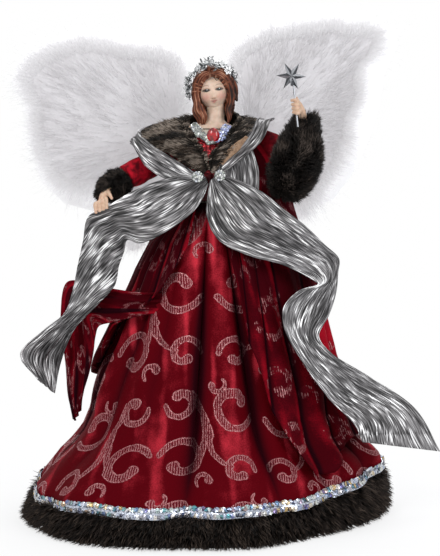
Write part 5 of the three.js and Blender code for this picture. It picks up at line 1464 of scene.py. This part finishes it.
# Combed lines run from the parting on top down the sides
comb_line = 13 * np.arctan2(hair_x, hair_z + 0.25) + 2.4 * np.sin(5 * hair_z + 2 * hair_x) + 3 * hair_y
comb_wave = 0.6 * np.cos(comb_line * 1.6) + 0.4 * np.cos(comb_line * 3.3 + 1.0)
face_gap = 1 - ((hair_x - 0.02) / (0.93 - 0.1 * hair_z)) ** 2 - ((hair_z + 0.42) / 1.26) ** 2
open_face = np.clip(face_gap * 9 + 0.3, 0, 1) * (hair_y < 0.05)
open_neck = np.clip((-hair_z - 0.74) * 6, 0, 1)
hair_thick = (4.0 + 0.6 * comb_wave + 1.2 * np.abs(hair_x) * (hair_z < 0.4)
              + 3.4 * np.clip(hair_z + 0.1, 0, 1) * (1 - 0.6 * hair_x**2))
hair_full = hair_ways * (head_radii + hair_thick[..., None])
hair_sunk = hair_ways * head_radii * 0.93
hair_mix = np.maximum(open_face, open_neck)[..., None]
hair_points = leaned(hair_full * (1 - hair_mix) + hair_sunk * hair_mix)
# Painted light on the cap: lighter on the combed waves
hair_cap = grid_form(hair_points, {"groove": 0.5 + 0.5 * comb_wave})
front_locks = [
    ([(-0.5, -12.0, 15.4), (-6.2, -11.6, 13.6), (-11.2, -9.2, 8.8), (-13.4, -7.2, 0.5), (-13.2, -6.6, -7),
      (-13.4, -7.2, -13), (-10.8, -8.8, -19), (-12, -9, -25)], [0.9, 2.1, 2.4, 2.4, 2.4, 2.8, 2.9, 0.7]),
    ([(-2, -9, 16.5), (-8, -7.5, 13.4), (-12.3, -4.5, 6.5), (-13.9, -2.5, -1), (-13.2, -1.5, -8),
      (-14.8, -2.5, -14), (-13.0, -4.5, -20), (-14.2, -5.5, -26)], [1.5, 3.0, 3.4, 3.4, 3.2, 3.2, 2.9, 0.9]),
    ([(-10.6, -7.5, -9), (-10.2, -9, -14), (-9.0, -9.6, -19), (-10.2, -9.4, -25)], [1.6, 2.3, 2.2, 0.6]),
    ([(0.4, -12.0, 15.4), (6.4, -11.4, 13.8), (11.4, -9, 9.2), (13.8, -7, 1.5), (14.0, -6.2, -5.5),
      (12.8, -6.4, -11), (9.8, -7.6, -16.5), (10.2, -8.4, -22), (8.4, -9, -26.5)],
     [0.9, 2.0, 2.4, 2.6, 2.5, 2.2, 1.9, 1.7, 0.6]),
    ([(2, -9, 16.5), (8.6, -7.5, 14), (13.6, -4.5, 8), (16.2, -2.5, 1), (16.4, -2, -5), (18.2, -3, -10.2)],
     [1.5, 3.0, 3.7, 3.8, 3.2, 0.6]),
    ([(12, -4.5, 1), (14.2, -5, -5), (13.6, -5, -10), (15.6, -5.5, -13.6)], [2.4, 3.4, 2.6, 0.5]),
    ([(11, -2, -4), (12.4, -2, -10), (10.4, -3, -16), (11.8, -4, -21)], [2.8, 3.2, 2.6, 0.7]),
    ([(-0.2, -13.0, 13.9), (4.6, -13.0, 13.2), (9.2, -11.0, 10.2), (11.4, -9.8, 6.0)], [0.5, 1.4, 1.5, 0.4]),
    ([(-0.2, -13.0, 13.9), (-4.6, -12.9, 13.0), (-8.8, -11.2, 10.0), (-11.2, -9.8, 5.2)],
     [0.5, 1.3, 1.5, 0.4]),
]
back_turn = np.radians([100, 125, 150, 175, 200, 225, 250])
back_locks = [
    ([(math.sin(t) * r, -math.cos(t) * d, z) for r, d, z in
      ((6, 6, 15), (12.5, 13.5, 8), (14.6, 15.8, 0), (13.4, 14.4, -8), (12.6, 12.8, -15), (12, 11.6, -21))],
     [1.5, 3.2, 3.6, 3.4, 2.8, 0.7]) for t in back_turn
]
hair = joined(hair_cap, *[lock(path, radii) for path, radii in front_locks + back_locks])
hair_piece = form_piece("auburn_curls", hair, auburn_material)
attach(hair_piece, "figure")
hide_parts("moulded_hair")


# Garland: a wreath of small glittered leaves on a hidden wire, pressed into the hair round the crown,
# with a white flower at the right and a spray that hangs at the left.
def leaf_shape():
    """A folded leaf of unit length from its foot at the origin, closed, with a raised middle rib."""
    points = [(0, 0, 0), (0.3, -0.18, 0.03), (0.36, 0.16, 0.03), (0.72, -0.15, 0.05), (0.7, 0.14, 0.05),
              (1, 0, 0.1), (0.45, 0, -0.07), (0.5, 0, 0.12)]
    rim = [0, 1, 3, 5, 4, 2]
    pairs = list(zip(rim, rim[1:] + rim[:1]))
    return points, [(after, here, 6) for here, after in pairs] + [(here, after, 7) for here, after in pairs]


def way_along(path, place, step):
    """Direction of a path at shares of its run."""
    return unit(spline(path, np.minimum(place + step, 1)) - spline(path, place - step))


tinsel = paint_named("glitter_silver")
tinsel_grain = tinsel.noise(0.55, 1.0)
tinsel_hue = tinsel.attribute("hue")
tinsel_base = tinsel.node("ValToRGB", {"stops": [
    (0.0, srgb(26, 30, 32)), (0.3, srgb(116, 120, 122)), (0.5, srgb(226, 228, 228)),
    (1.0, srgb(254, 254, 254)),
]}, {"Fac": tinsel_hue})
tinsel_material = tinsel.finish({
    "Base Color": tinsel.blend(tinsel_grain.ramp(0.54, 0.62), tinsel_base, srgb(46, 50, 52)),
    "Metallic": 0.3,
    "Roughness": 0.3 + 0.2 * tinsel_grain,
    "Normal": tinsel.bump(tinsel_grain, 0.3, 0.6),
})
garland_path = [
    (-16.2, -7, 328.5), (-17.2, -6, 334), (-17.4, -6, 339.5), (-14.8, -8.5, 345), (-9.8, -11.5, 349.8),
    (-5.2, -12.5, 353.6), (-0.6, -12.6, 356.6), (4.6, -12.4, 354), (9.6, -11, 353), (14.6, -8.5, 351),
    (18.6, -5, 345.5), (19.8, 2, 342.5), (16.0, 11, 342.5), (2, 17.0, 344), (-12, 12.5, 340.5),
    (-17, 4.5, 337.5), (-17.8, -3.5, 339.5),
]
garland_rng = np.random.default_rng(17)
leaf_count = 330
leaf_place = garland_rng.uniform(0, 1, leaf_count)
leaf_place[:240] = garland_rng.uniform(0, 0.62, 240)
leaf_root = spline(garland_path, leaf_place) + garland_rng.normal(0, 1.1, (leaf_count, 3))
garland_run = way_along(garland_path, leaf_place, 0.01)
away_from_head = unit(leaf_root - head_centre)
leaf_way = unit(garland_run * garland_rng.choice([-1, 1], leaf_count)[:, None] * 0.6 + away_from_head * 0.35
                + garland_rng.normal(0, 0.5, (leaf_count, 3)))
leaf_side = unit(np.cross(leaf_way, away_from_head + garland_rng.normal(0, 0.35, (leaf_count, 3))))
leaf_scale = garland_rng.uniform(3.0, 5.0, leaf_count) * (1 + 0.35 * bell(leaf_place, 0.375, 0.05))
leaves = stamped(*leaf_shape(), leaf_root, leaf_way, leaf_side, leaf_scale,
                 {"hue": garland_rng.uniform(0, 1, leaf_count)})
garland_wire = grid_form(tube(garland_path, [0.7, 0.7], 6, 120), {"hue": 0.3})
flower_place = np.array([14.6, -11.2, 349.8])
petal_turn = np.arange(6) * 2 * np.pi / 6
petal_way = unit(np.stack([np.cos(petal_turn), np.full(6, -0.35), np.sin(petal_turn)], -1))
petals = stamped(*leaf_shape(), flower_place + 0 * petal_way, petal_way,
                 unit(np.cross(petal_way, [[0, -1.0, 0]])) * 2.0, np.full(6, 3.4), {"hue": np.ones(6)})
berry_place = spline(garland_path, garland_rng.uniform(0, 0.62, 16)) + garland_rng.normal(0, 1.0, (16, 3))
berries = stamped(*disc_shape(8, 0.8, 0.1), berry_place + unit(berry_place - head_centre) * 1.2,
                  np.tile([1.0, 0, 0], (16, 1)), unit(np.cross(np.tile([1.0, 0, 0], (16, 1)), [[0, 1.0, 0]]))
                  * -1, np.full(16, 1.2), {"hue": garland_rng.uniform(0.5, 1, 16)})
garland = joined(garland_wire, leaves, petals, berries)
garland_piece = form_piece("glitter_garland", garland, tinsel_material, smooth=False)
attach(garland_piece, "figure")
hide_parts("head_garland")


# Arms: short sleeves of the red velvet over a bent wire. The left one ends in its cuff at the elbow,
# and the right one goes up behind the stole.
def wrinkled(turn, share):
    return 0.97 + 0.05 * np.sin(np.pi * share) + 0.035 * np.cos(17 * share + 2.2 * np.sin(turn)) * (
        0.6 + 0.4 * np.cos(turn))


sleeve_velvet = paint_named("sleeve_velvet")
sleeve_crush = sleeve_velvet.noise(6.0, 3.0)
sleeve_pile = sleeve_velvet.noise(0.45, 2.0)
sleeve_shade = (sleeve_crush * 0.75 + sleeve_pile * 0.25).ramp(0.35, 0.65)
# Painted shade: the sleeve is darker on the right of the figure
sleeve_shade = sleeve_shade * (1 - sleeve_velvet.parts(sleeve_velvet.places())[0].ramp(0, 20) * 0.6)
sleeve_material = sleeve_velvet.finish({
    "Base Color": sleeve_velvet.blend(sleeve_shade, srgb(72, 0, 10), srgb(186, 18, 38)),
    "Roughness": 0.8,
    "Sheen Weight": 0.08,
    "Sheen Roughness": 0.35,
    "Sheen Tint": srgb(230, 70, 86),
    "Specular IOR Level": 0.1,
    "Normal": sleeve_velvet.bump(sleeve_pile + sleeve_crush, 0.5, 0.5),
})
left_sleeve_shares = [[-0.1, 0.004, 0.803], [-0.148, -0.016, 0.776], [-0.188, -0.038, 0.756]]
right_sleeve_shares = [[0.102, 0, 0.84], [0.14, -0.008, 0.818], [0.162, -0.028, 0.77], [0.171, -0.046, 0.732]]
for side_name, shares, radii, body in (
    ("left", left_sleeve_shares, [9.0, 9.8, 10.4, 10.2], "figure"),
    ("right", right_sleeve_shares, [10.5, 12.5, 12.2, 9.6], "wand_arm"),
):
    sleeve_form = grid_form(tube(on_figure(shares), radii, 72, 60, 1.0, wrinkled))
    sleeve = new_piece(f"velvet_sleeve_{side_name}", *sleeve_form[:3], sleeve_material)
    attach(sleeve, body)
    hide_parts(f"sleeve_{side_name}")


# Fur cuffs: fat muffs of near black brown fur at the sleeve ends. The hairs lie in tufts that turn
# with the sleeve.
cuff_radius_shares = [0.3, 0.72, 0.9, 1.0, 1.0, 0.96, 0.82, 0.5, 0.3]
left_cuff_shares = [[-0.186, -0.036, 0.752], [-0.216, -0.052, 0.736], [-0.241, -0.068, 0.714]]
right_cuff_shares = [[0.17, -0.056, 0.716], [0.182, -0.068, 0.762], [0.2, -0.074, 0.82],
                     [0.216, -0.066, 0.889]]
cuff_fur = fur("cuff_fur", srgb(4, 2, 1), srgb(34, 27, 23), srgb(104, 92, 84))
cuffs = [
    ("left", left_cuff_shares, 8.6, (3.5, 6.5), 9000, "figure", 0.9),
    ("right", right_cuff_shares, 15.0, (5.5, 9.5), 13500, "wand_arm", 0.8),
]
for side_name, shares, radius, (shortest, longest), hairs, body, pull in cuffs:
    rng = np.random.default_rng(hairs)
    rows, columns = 60, 64
    cuff_path = on_figure(shares)
    cuff_rows = tube(cuff_path, [radius * s for s in cuff_radius_shares], columns, rows)
    base = grid_form(cuff_rows, {"along": 0.05, "shade": 0.3})
    row = rng.beta(1.05, 1.05, hairs) * (rows - 1.001)
    column = rng.uniform(0, columns, hairs)
    r0, c0 = row.astype(int), column.astype(int)
    s, t = (row - r0)[:, None], (column - c0)[:, None]
    corner = [cuff_rows[r0 + i, (c0 + j) % columns] for i in (0, 1) for j in (0, 1)]
    root = (corner[0] * (1 - t) + corner[1] * t) * (1 - s) + (corner[2] * (1 - t) + corner[3] * t) * s
    lengthwise = unit(corner[2] - corner[0])
    around = unit(corner[1] - corner[0])
    middle_line = spline(cuff_path, row / (rows - 1))
    out = unit(np.cross(around, lengthwise))
    out = out * np.sign(np.sum(out * (root - middle_line), -1))[:, None]
    tuft = lattice_noise(row / 4.5, column / 4.0, hairs + 1)
    lie = lattice_noise(row / 7.0 + 5, column / 6.0, hairs + 2)
    way = unit(out * (0.62 + 0.22 * lie)[:, None] + lengthwise * (0.55 * pull + 0.5 * tuft)[:, None]
               + around * (0.75 * lie + rng.normal(0, 0.14, hairs))[:, None] + rng.normal(0, 0.1, (hairs, 3)))
    length = rng.uniform(shortest, longest, hairs)
    tips = root + way * length[:, None]
    shades = np.clip(0.42 + 0.6 * tuft + rng.normal(0, 0.2, hairs), 0, 1)
    muff = joined(base, spikes(root - 0.7 * out, tips, rng.uniform(0.45, 0.85, hairs), shades, out * 0.8))
    cuff = form_piece(f"muff_{side_name}", muff, cuff_fur)
    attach(cuff, body)
    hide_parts(f"fur_cuff_{side_name}")


# Hands: small resin casts in the colour of the face. The left one pinches the edge of the stole, and
# the right one is closed round the wand.
left_hand_shares = {
    "palm": [[-0.208, -0.056, 0.742], [-0.222, -0.07, 0.732],
             [-0.233, -0.084, 0.719], [-0.24, -0.098, 0.704]],
    "fingers": [[-0.228, -0.109, 0.709], [-0.226, -0.1125, 0.688],
                [-0.252, -0.109, 0.699], [-0.25, -0.1125, 0.678]],
    "thumb": [[-0.226, -0.082, 0.726], [-0.221, -0.096, 0.719], [-0.215, -0.108, 0.71]],
}
right_hand_shares = {
    "palm": [[0.213, -0.07, 0.85], [0.209, -0.08, 0.874], [0.203, -0.09, 0.9], [0.196, -0.1, 0.92]],
    "fingers": [[0.193, -0.119, 0.898], [0.1815, -0.111, 0.9],
                [0.189, -0.114, 0.926], [0.178, -0.106, 0.926]],
    "thumb": [[0.208, -0.088, 0.892], [0.197, -0.092, 0.918], [0.19, -0.091, 0.934]],
}
resin = paint_named("hand_resin")
resin_tone = resin.noise(2.5, 2.0)
resin_material = resin.finish({
    "Base Color": resin.blend(resin_tone.ramp(0.3, 0.7), srgb(194, 158, 132), srgb(210, 178, 152)),
    "Roughness": 0.45 + 0.1 * resin_tone,
    "Subsurface Weight": 0.1,
    "Subsurface Scale": 0.002,
    "Normal": resin.bump(resin.noise(0.7, 2.0), 0.05, 0.3),
})
hands = [("left", left_hand_shares, "figure"), ("right", right_hand_shares, "wand_arm")]
for side_name, hand_shares, body in hands:
    palm, route = on_figure(hand_shares["palm"]), on_figure(hand_shares["fingers"])
    forms = [
        grid_form(tube(palm, [2.9, 3.0, 3.6, 3.5, 2.3], 28, 26, 0.72, None, (0.3, 0.2, 1.0))),
        grid_form(tube(on_figure(hand_shares["thumb"]), [1.9, 1.6, 1.4, 1.0], 18, 16)),
    ]
    for finger in range(4):
        share = finger / 3
        knuckle, end = [route[i] * (1 - share) + route[i + 2] * share for i in (0, 1)]
        root = palm[2] * (0.65 - 0.65 * share) + palm[3] * (0.35 + 0.65 * share)
        finger_path = [root, root * 0.4 + knuckle * 0.6, knuckle, end]
        forms.append(grid_form(tube(finger_path, [1.7, 1.65, 1.55, 1.15], 18, 22)))
    hand_form = joined(*forms)
    rough_hand = new_piece("rough_hand", *hand_form[:3], resin_material)
    welding = rough_hand.modifiers.new("weld", "REMESH")
    welding.mode, welding.voxel_size, welding.use_smooth_shade = "VOXEL", 0.0004, True
    rounding = rough_hand.modifiers.new("round", "SMOOTH")
    rounding.factor, rounding.iterations = 0.5, 5
    graph = bpy.context.evaluated_depsgraph_get()
    hand_mesh = bpy.data.meshes.new_from_object(rough_hand.evaluated_get(graph))
    bpy.data.objects.remove(rough_hand)
    hand_mesh.name = f"resin_hand_{side_name}"
    hand = bpy.data.objects.new(f"resin_hand_{side_name}", hand_mesh)
    bpy.context.scene.collection.objects.link(hand)
    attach(hand, body)
    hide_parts(f"hand_{side_name}")


# Wand: a thin silver rod with a six pointed star of plated plastic, whose socket sits on its tip. The
# rod can be drawn out of the hand.
star_middle = on_figure([0.179, -0.1, 0.979])
chrome = paint_named("plated_star")
chrome_wear = chrome.noise(1.5, 3.0)
chrome_x, _, chrome_z = chrome.parts(chrome.places())
star_bearing = (chrome_z - star_middle[2]).math("ARCTAN2", chrome_x - (star_middle[0] + axis_place[0] * 1000))
# Painted light: one side of each point is painted as lit and the other as shaded
lit_facet = ((star_bearing + math.radians(2)) * 6.0).math("SINE") > 0.0
chrome_material = chrome.finish({
    "Base Color": chrome.blend(lit_facet * (0.55 + 0.6 * chrome_wear), srgb(66, 68, 72), srgb(168, 170, 174)),
    "Metallic": 0.75,
    "Roughness": 0.2 + 0.12 * chrome_wear,
})
rod_paint = paint_named("rod_silver")
rod_wear = rod_paint.noise(1.0, 2.0, stretch=(1, 1, 0.2))
rod_material = rod_paint.finish({
    "Base Color": rod_paint.blend(rod_wear, srgb(92, 94, 98), srgb(166, 168, 172)),
    "Metallic": 0.8,
    "Roughness": 0.3 + 0.1 * rod_wear,
})
paint_nodes(("wand_rod",), rod_material)
star_turn = np.arange(12) * np.pi / 6 - math.radians(2)
star_rim = np.where(np.arange(12) % 2, 4.3, 11.6)
star_ring = np.stack([star_rim * np.cos(star_turn), np.zeros(12), star_rim * np.sin(star_turn)], -1)
star_points = np.vstack([star_ring, [0, -2.6, 0], [0, 2.6, 0]]) + star_middle
star_faces = np.array([(12, (i + 1) % 12, i) for i in range(12)] + [(13, i, (i + 1) % 12) for i in range(12)])
star_faces = star_faces[:, ::-1]
rod_way = unit(star_middle - on_figure([0.193, -0.118, 0.868]))
socket_path = [star_middle - 7.5 * rod_way, star_middle - 4 * rod_way, star_middle]
socket_form = grid_form(tube(socket_path, [1.5, 1.6, 1.5], 16, 8))
star_form = joined((star_points, star_faces.ravel(), np.full(24, 3), {}), socket_form)
star = new_piece("plated_star", *star_form[:3], chrome_material, smooth=False)
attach(star, "wand")
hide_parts("wand_star")


# Collar lining: a strip of tan woven backing, sewn under the fur. It shows where the right side of the
# collar turns back.
backing = paint_named("tan_backing")
weave_x, weave_y, _ = backing.parts(backing.node("UVMap", {"uv_map": "flat"}))
thread_turn = 2 * math.pi / 0.7
weave = (weave_x * thread_turn).math("SINE") * (weave_y * thread_turn).math("SINE") * 0.5 + 0.5
backing_tone = backing.noise(2.0, 3.0)
backing_material = backing.finish({
    "Base Color": backing.blend(backing_tone.ramp(0.3, 0.7), srgb(138, 108, 84), srgb(176, 144, 116)),
    "Roughness": 0.9 - 0.1 * backing_tone,
    "Normal": backing.bump(weave + backing_tone, 0.12, 0.6),
})
lining_inner_shares = [[0.012, -0.091, 0.781], [0.026, -0.093, 0.803],
                       [0.048, -0.09, 0.826], [0.08, -0.073, 0.849]]
lining_outer_shares = [[0.034, -0.077, 0.766], [0.054, -0.069, 0.786],
                       [0.08, -0.059, 0.808], [0.1, -0.046, 0.836]]
lining_across, lining_along = np.linspace(0, 1, 17)[None, :], np.linspace(0, 1, 60)
lining_points, lining_normals = ribbon_frame(
    on_figure(lining_inner_shares), on_figure(lining_outer_shares), lining_across, lining_along
)
lining_uv, lining_length, lining_width = ribbon_pattern(
    on_figure(lining_inner_shares), on_figure(lining_outer_shares), lining_across, lining_along
)
lining_points = lining_points + lining_normals * (0.8 * np.sin(np.pi * lining_across))[..., None]
lining = grid_piece("tan_lining", lining_points, backing_material, uv=lining_uv)
thicken(lining, 0.7)
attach(lining, "figure")
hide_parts("collar_lining")


# Neckline, pendant and buttons: glass stones. The neckline is a V of small silver stones, the pendant
# one red stone at its foot, and each button a stone in a ring of little ones.
def cut_stone(sides=8):
    """A cut stone: a flat table over a ring of slopes, closed by a point behind."""
    turn = np.arange(sides) * 2 * np.pi / sides
    ring = np.stack([np.cos(turn), np.sin(turn), np.zeros(sides)], -1)
    table = np.stack([0.55 * np.cos(turn + 0.4), 0.55 * np.sin(turn + 0.4), np.full(sides, 0.45)], -1)
    points = np.vstack([ring, table, [0, 0, -0.5]])
    following = [(i + 1) % sides for i in range(sides)]
    faces = [(i, j, sides + i) for i, j in enumerate(following)]
    faces += [(j, sides + j, sides + i) for i, j in enumerate(following)]
    faces += [(j, i, 2 * sides) for i, j in enumerate(following)]
    faces += [tuple(range(sides, 2 * sides))]
    return points, faces


glass = paint_named("silver_stones")
glass_hue = glass.attribute("hue")
glass_colour = glass.node("ValToRGB", {"stops": [
    (0.0, srgb(196, 204, 190)), (0.16, srgb(96, 102, 98)), (0.3, srgb(236, 238, 234)),
    (0.45, srgb(130, 134, 138)), (0.55, srgb(224, 228, 236)), (0.7, srgb(120, 130, 176)),
    (0.82, srgb(176, 186, 226)), (1.0, srgb(84, 90, 126)),
]}, {"Fac": glass_hue})
glass_speck = glass.noise(0.9, 2.0)
glass_material = glass.finish({
    "Base Color": glass.blend(glass_speck.ramp(0.5, 0.62) * 0.6, glass_colour, srgb(42, 46, 54)),
    "Metallic": 0.55,
    "Roughness": 0.12 + 0.1 * glass_speck,
    "Coat Weight": 0.6,
})
stone_rng = np.random.default_rng(23)
neckline_path = on_figure([
    [-0.037, -0.03, 0.874], [-0.028, -0.047, 0.862], [-0.014, -0.062, 0.846], [0.007, -0.07, 0.837],
    [0.026, -0.06, 0.848], [0.034, -0.05, 0.86], [0.038, -0.04, 0.87],
])
stone_count = 118
stone_place = stone_rng.uniform(0, 1, stone_count)
stone_run = way_along(neckline_path, stone_place, 0.02)
stone_out = unit(np.array([0, -1.0, 0.25]) + 0 * stone_run)
stone_down = unit(np.cross(stone_run, stone_out))
stone_side = stone_rng.uniform(-3.0, 3.0, stone_count)
stone_spot = spline(neckline_path, stone_place) + stone_down * stone_side[:, None] + stone_out * (
    1.5 - 0.1 * stone_side**2 + stone_rng.uniform(0, 0.5, stone_count))[:, None]
stone_tilt = unit(stone_run + stone_rng.normal(0, 0.35, (stone_count, 3)))
stone_face = unit(stone_out + stone_rng.normal(0, 0.3, (stone_count, 3)))
stone_up = unit(np.cross(stone_face, stone_tilt))
stone_hue = np.clip(stone_rng.uniform(0, 0.55, stone_count) + 0.45 * (stone_spot[:, 0] > 4.5), 0, 1)
stones = stamped(*cut_stone(), stone_spot, unit(np.cross(stone_up, stone_face)), stone_up,
                 stone_rng.uniform(0.95, 1.6, stone_count), {"hue": stone_hue})
neck_cord = grid_form(tube(neckline_path, [2.2, 2.6, 2.6, 2.2], 16, 60, 0.7), {"hue": 0.2})
neck_form = joined(neck_cord, stones)
neck_piece = form_piece("neckline_stones", neck_form, glass_material, smooth=False)
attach(neck_piece, "figure")
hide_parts("neckline_trim")

ruby = paint_named("red_stone")
ruby_depth = ruby.noise(3.5, 1.0)
ruby_material = ruby.finish({
    "Base Color": ruby.blend(ruby_depth.ramp(0.3, 0.7), srgb(104, 0, 6), srgb(184, 6, 16)),
    "Roughness": 0.06 + 0.05 * ruby_depth,
    "Specular IOR Level": 0.5,
    "Coat Weight": 0.5,
    "Coat Roughness": 0.02,
})
gem_ways = sphere_ways(64, 44)
gem_middle = on_figure([0.007, -0.049, 0.858]) + (0.2, -7.2, -2.6)
gem_form = grid_form(gem_middle + gem_ways * (5.0, 3.4, 6.2) * (1 - 0.1 * gem_ways[..., 2:]))
gem = new_piece("red_pendant", *gem_form[:3], ruby_material)
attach(gem, "figure")
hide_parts("pendant_gem")

for side_name, shares in (("left", [-0.0267, -0.101, 0.7585]), ("right", [0.0227, -0.101, 0.7614])):
    middle = on_figure(shares)
    petal_turn = np.arange(10) * 2 * np.pi / 10
    ring_spot = middle + np.stack([3.4 * np.cos(petal_turn), np.full(10, -0.6), 3.4 * np.sin(petal_turn)], -1)
    inner_turn = np.arange(6) * 2 * np.pi / 6 + 0.3
    inner_spot = middle + np.stack([1.8 * np.cos(inner_turn), np.full(6, -1.7), 1.8 * np.sin(inner_turn)], -1)
    spots = np.vstack([ring_spot, inner_spot, middle + [[0, -2.3, 0]]])
    scales = np.array([1.15] * 10 + [0.95] * 6 + [1.2])
    rights = np.tile([1.0, 0, 0], (17, 1))
    ups = np.tile([0, 0, 1.0], (17, 1))
    hues = np.array([0.3, 0.05, 0.28, 0.5, 0.3, 0.12, 0.34, 0.55, 0.3, 0.0,
                     0.32, 0.5, 0.1, 0.3, 0.45, 0.3, 0.33])
    small = stamped(*cut_stone(), spots, rights, ups, scales, {"hue": hues})
    dish_turn = np.arange(24) * 2 * np.pi / 24
    profile = np.array([(2.8, 1.6), (4.1, 1.4), (4.4, 0.2), (4.0, -0.7), (2.8, -1.0), (1.0, -1.1)])
    dish = np.stack([profile[:, :1] * np.cos(dish_turn), profile[:, 1:] + 0 * dish_turn,
                     profile[:, :1] * np.sin(dish_turn)], -1) + middle
    button_form = joined(grid_form(dish, {"hue": 0.42}), small)
    button = form_piece(f"stone_button_{side_name}", button_form, glass_material, smooth=False)
    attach(button, "figure")
    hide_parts(f"button_{side_name}")
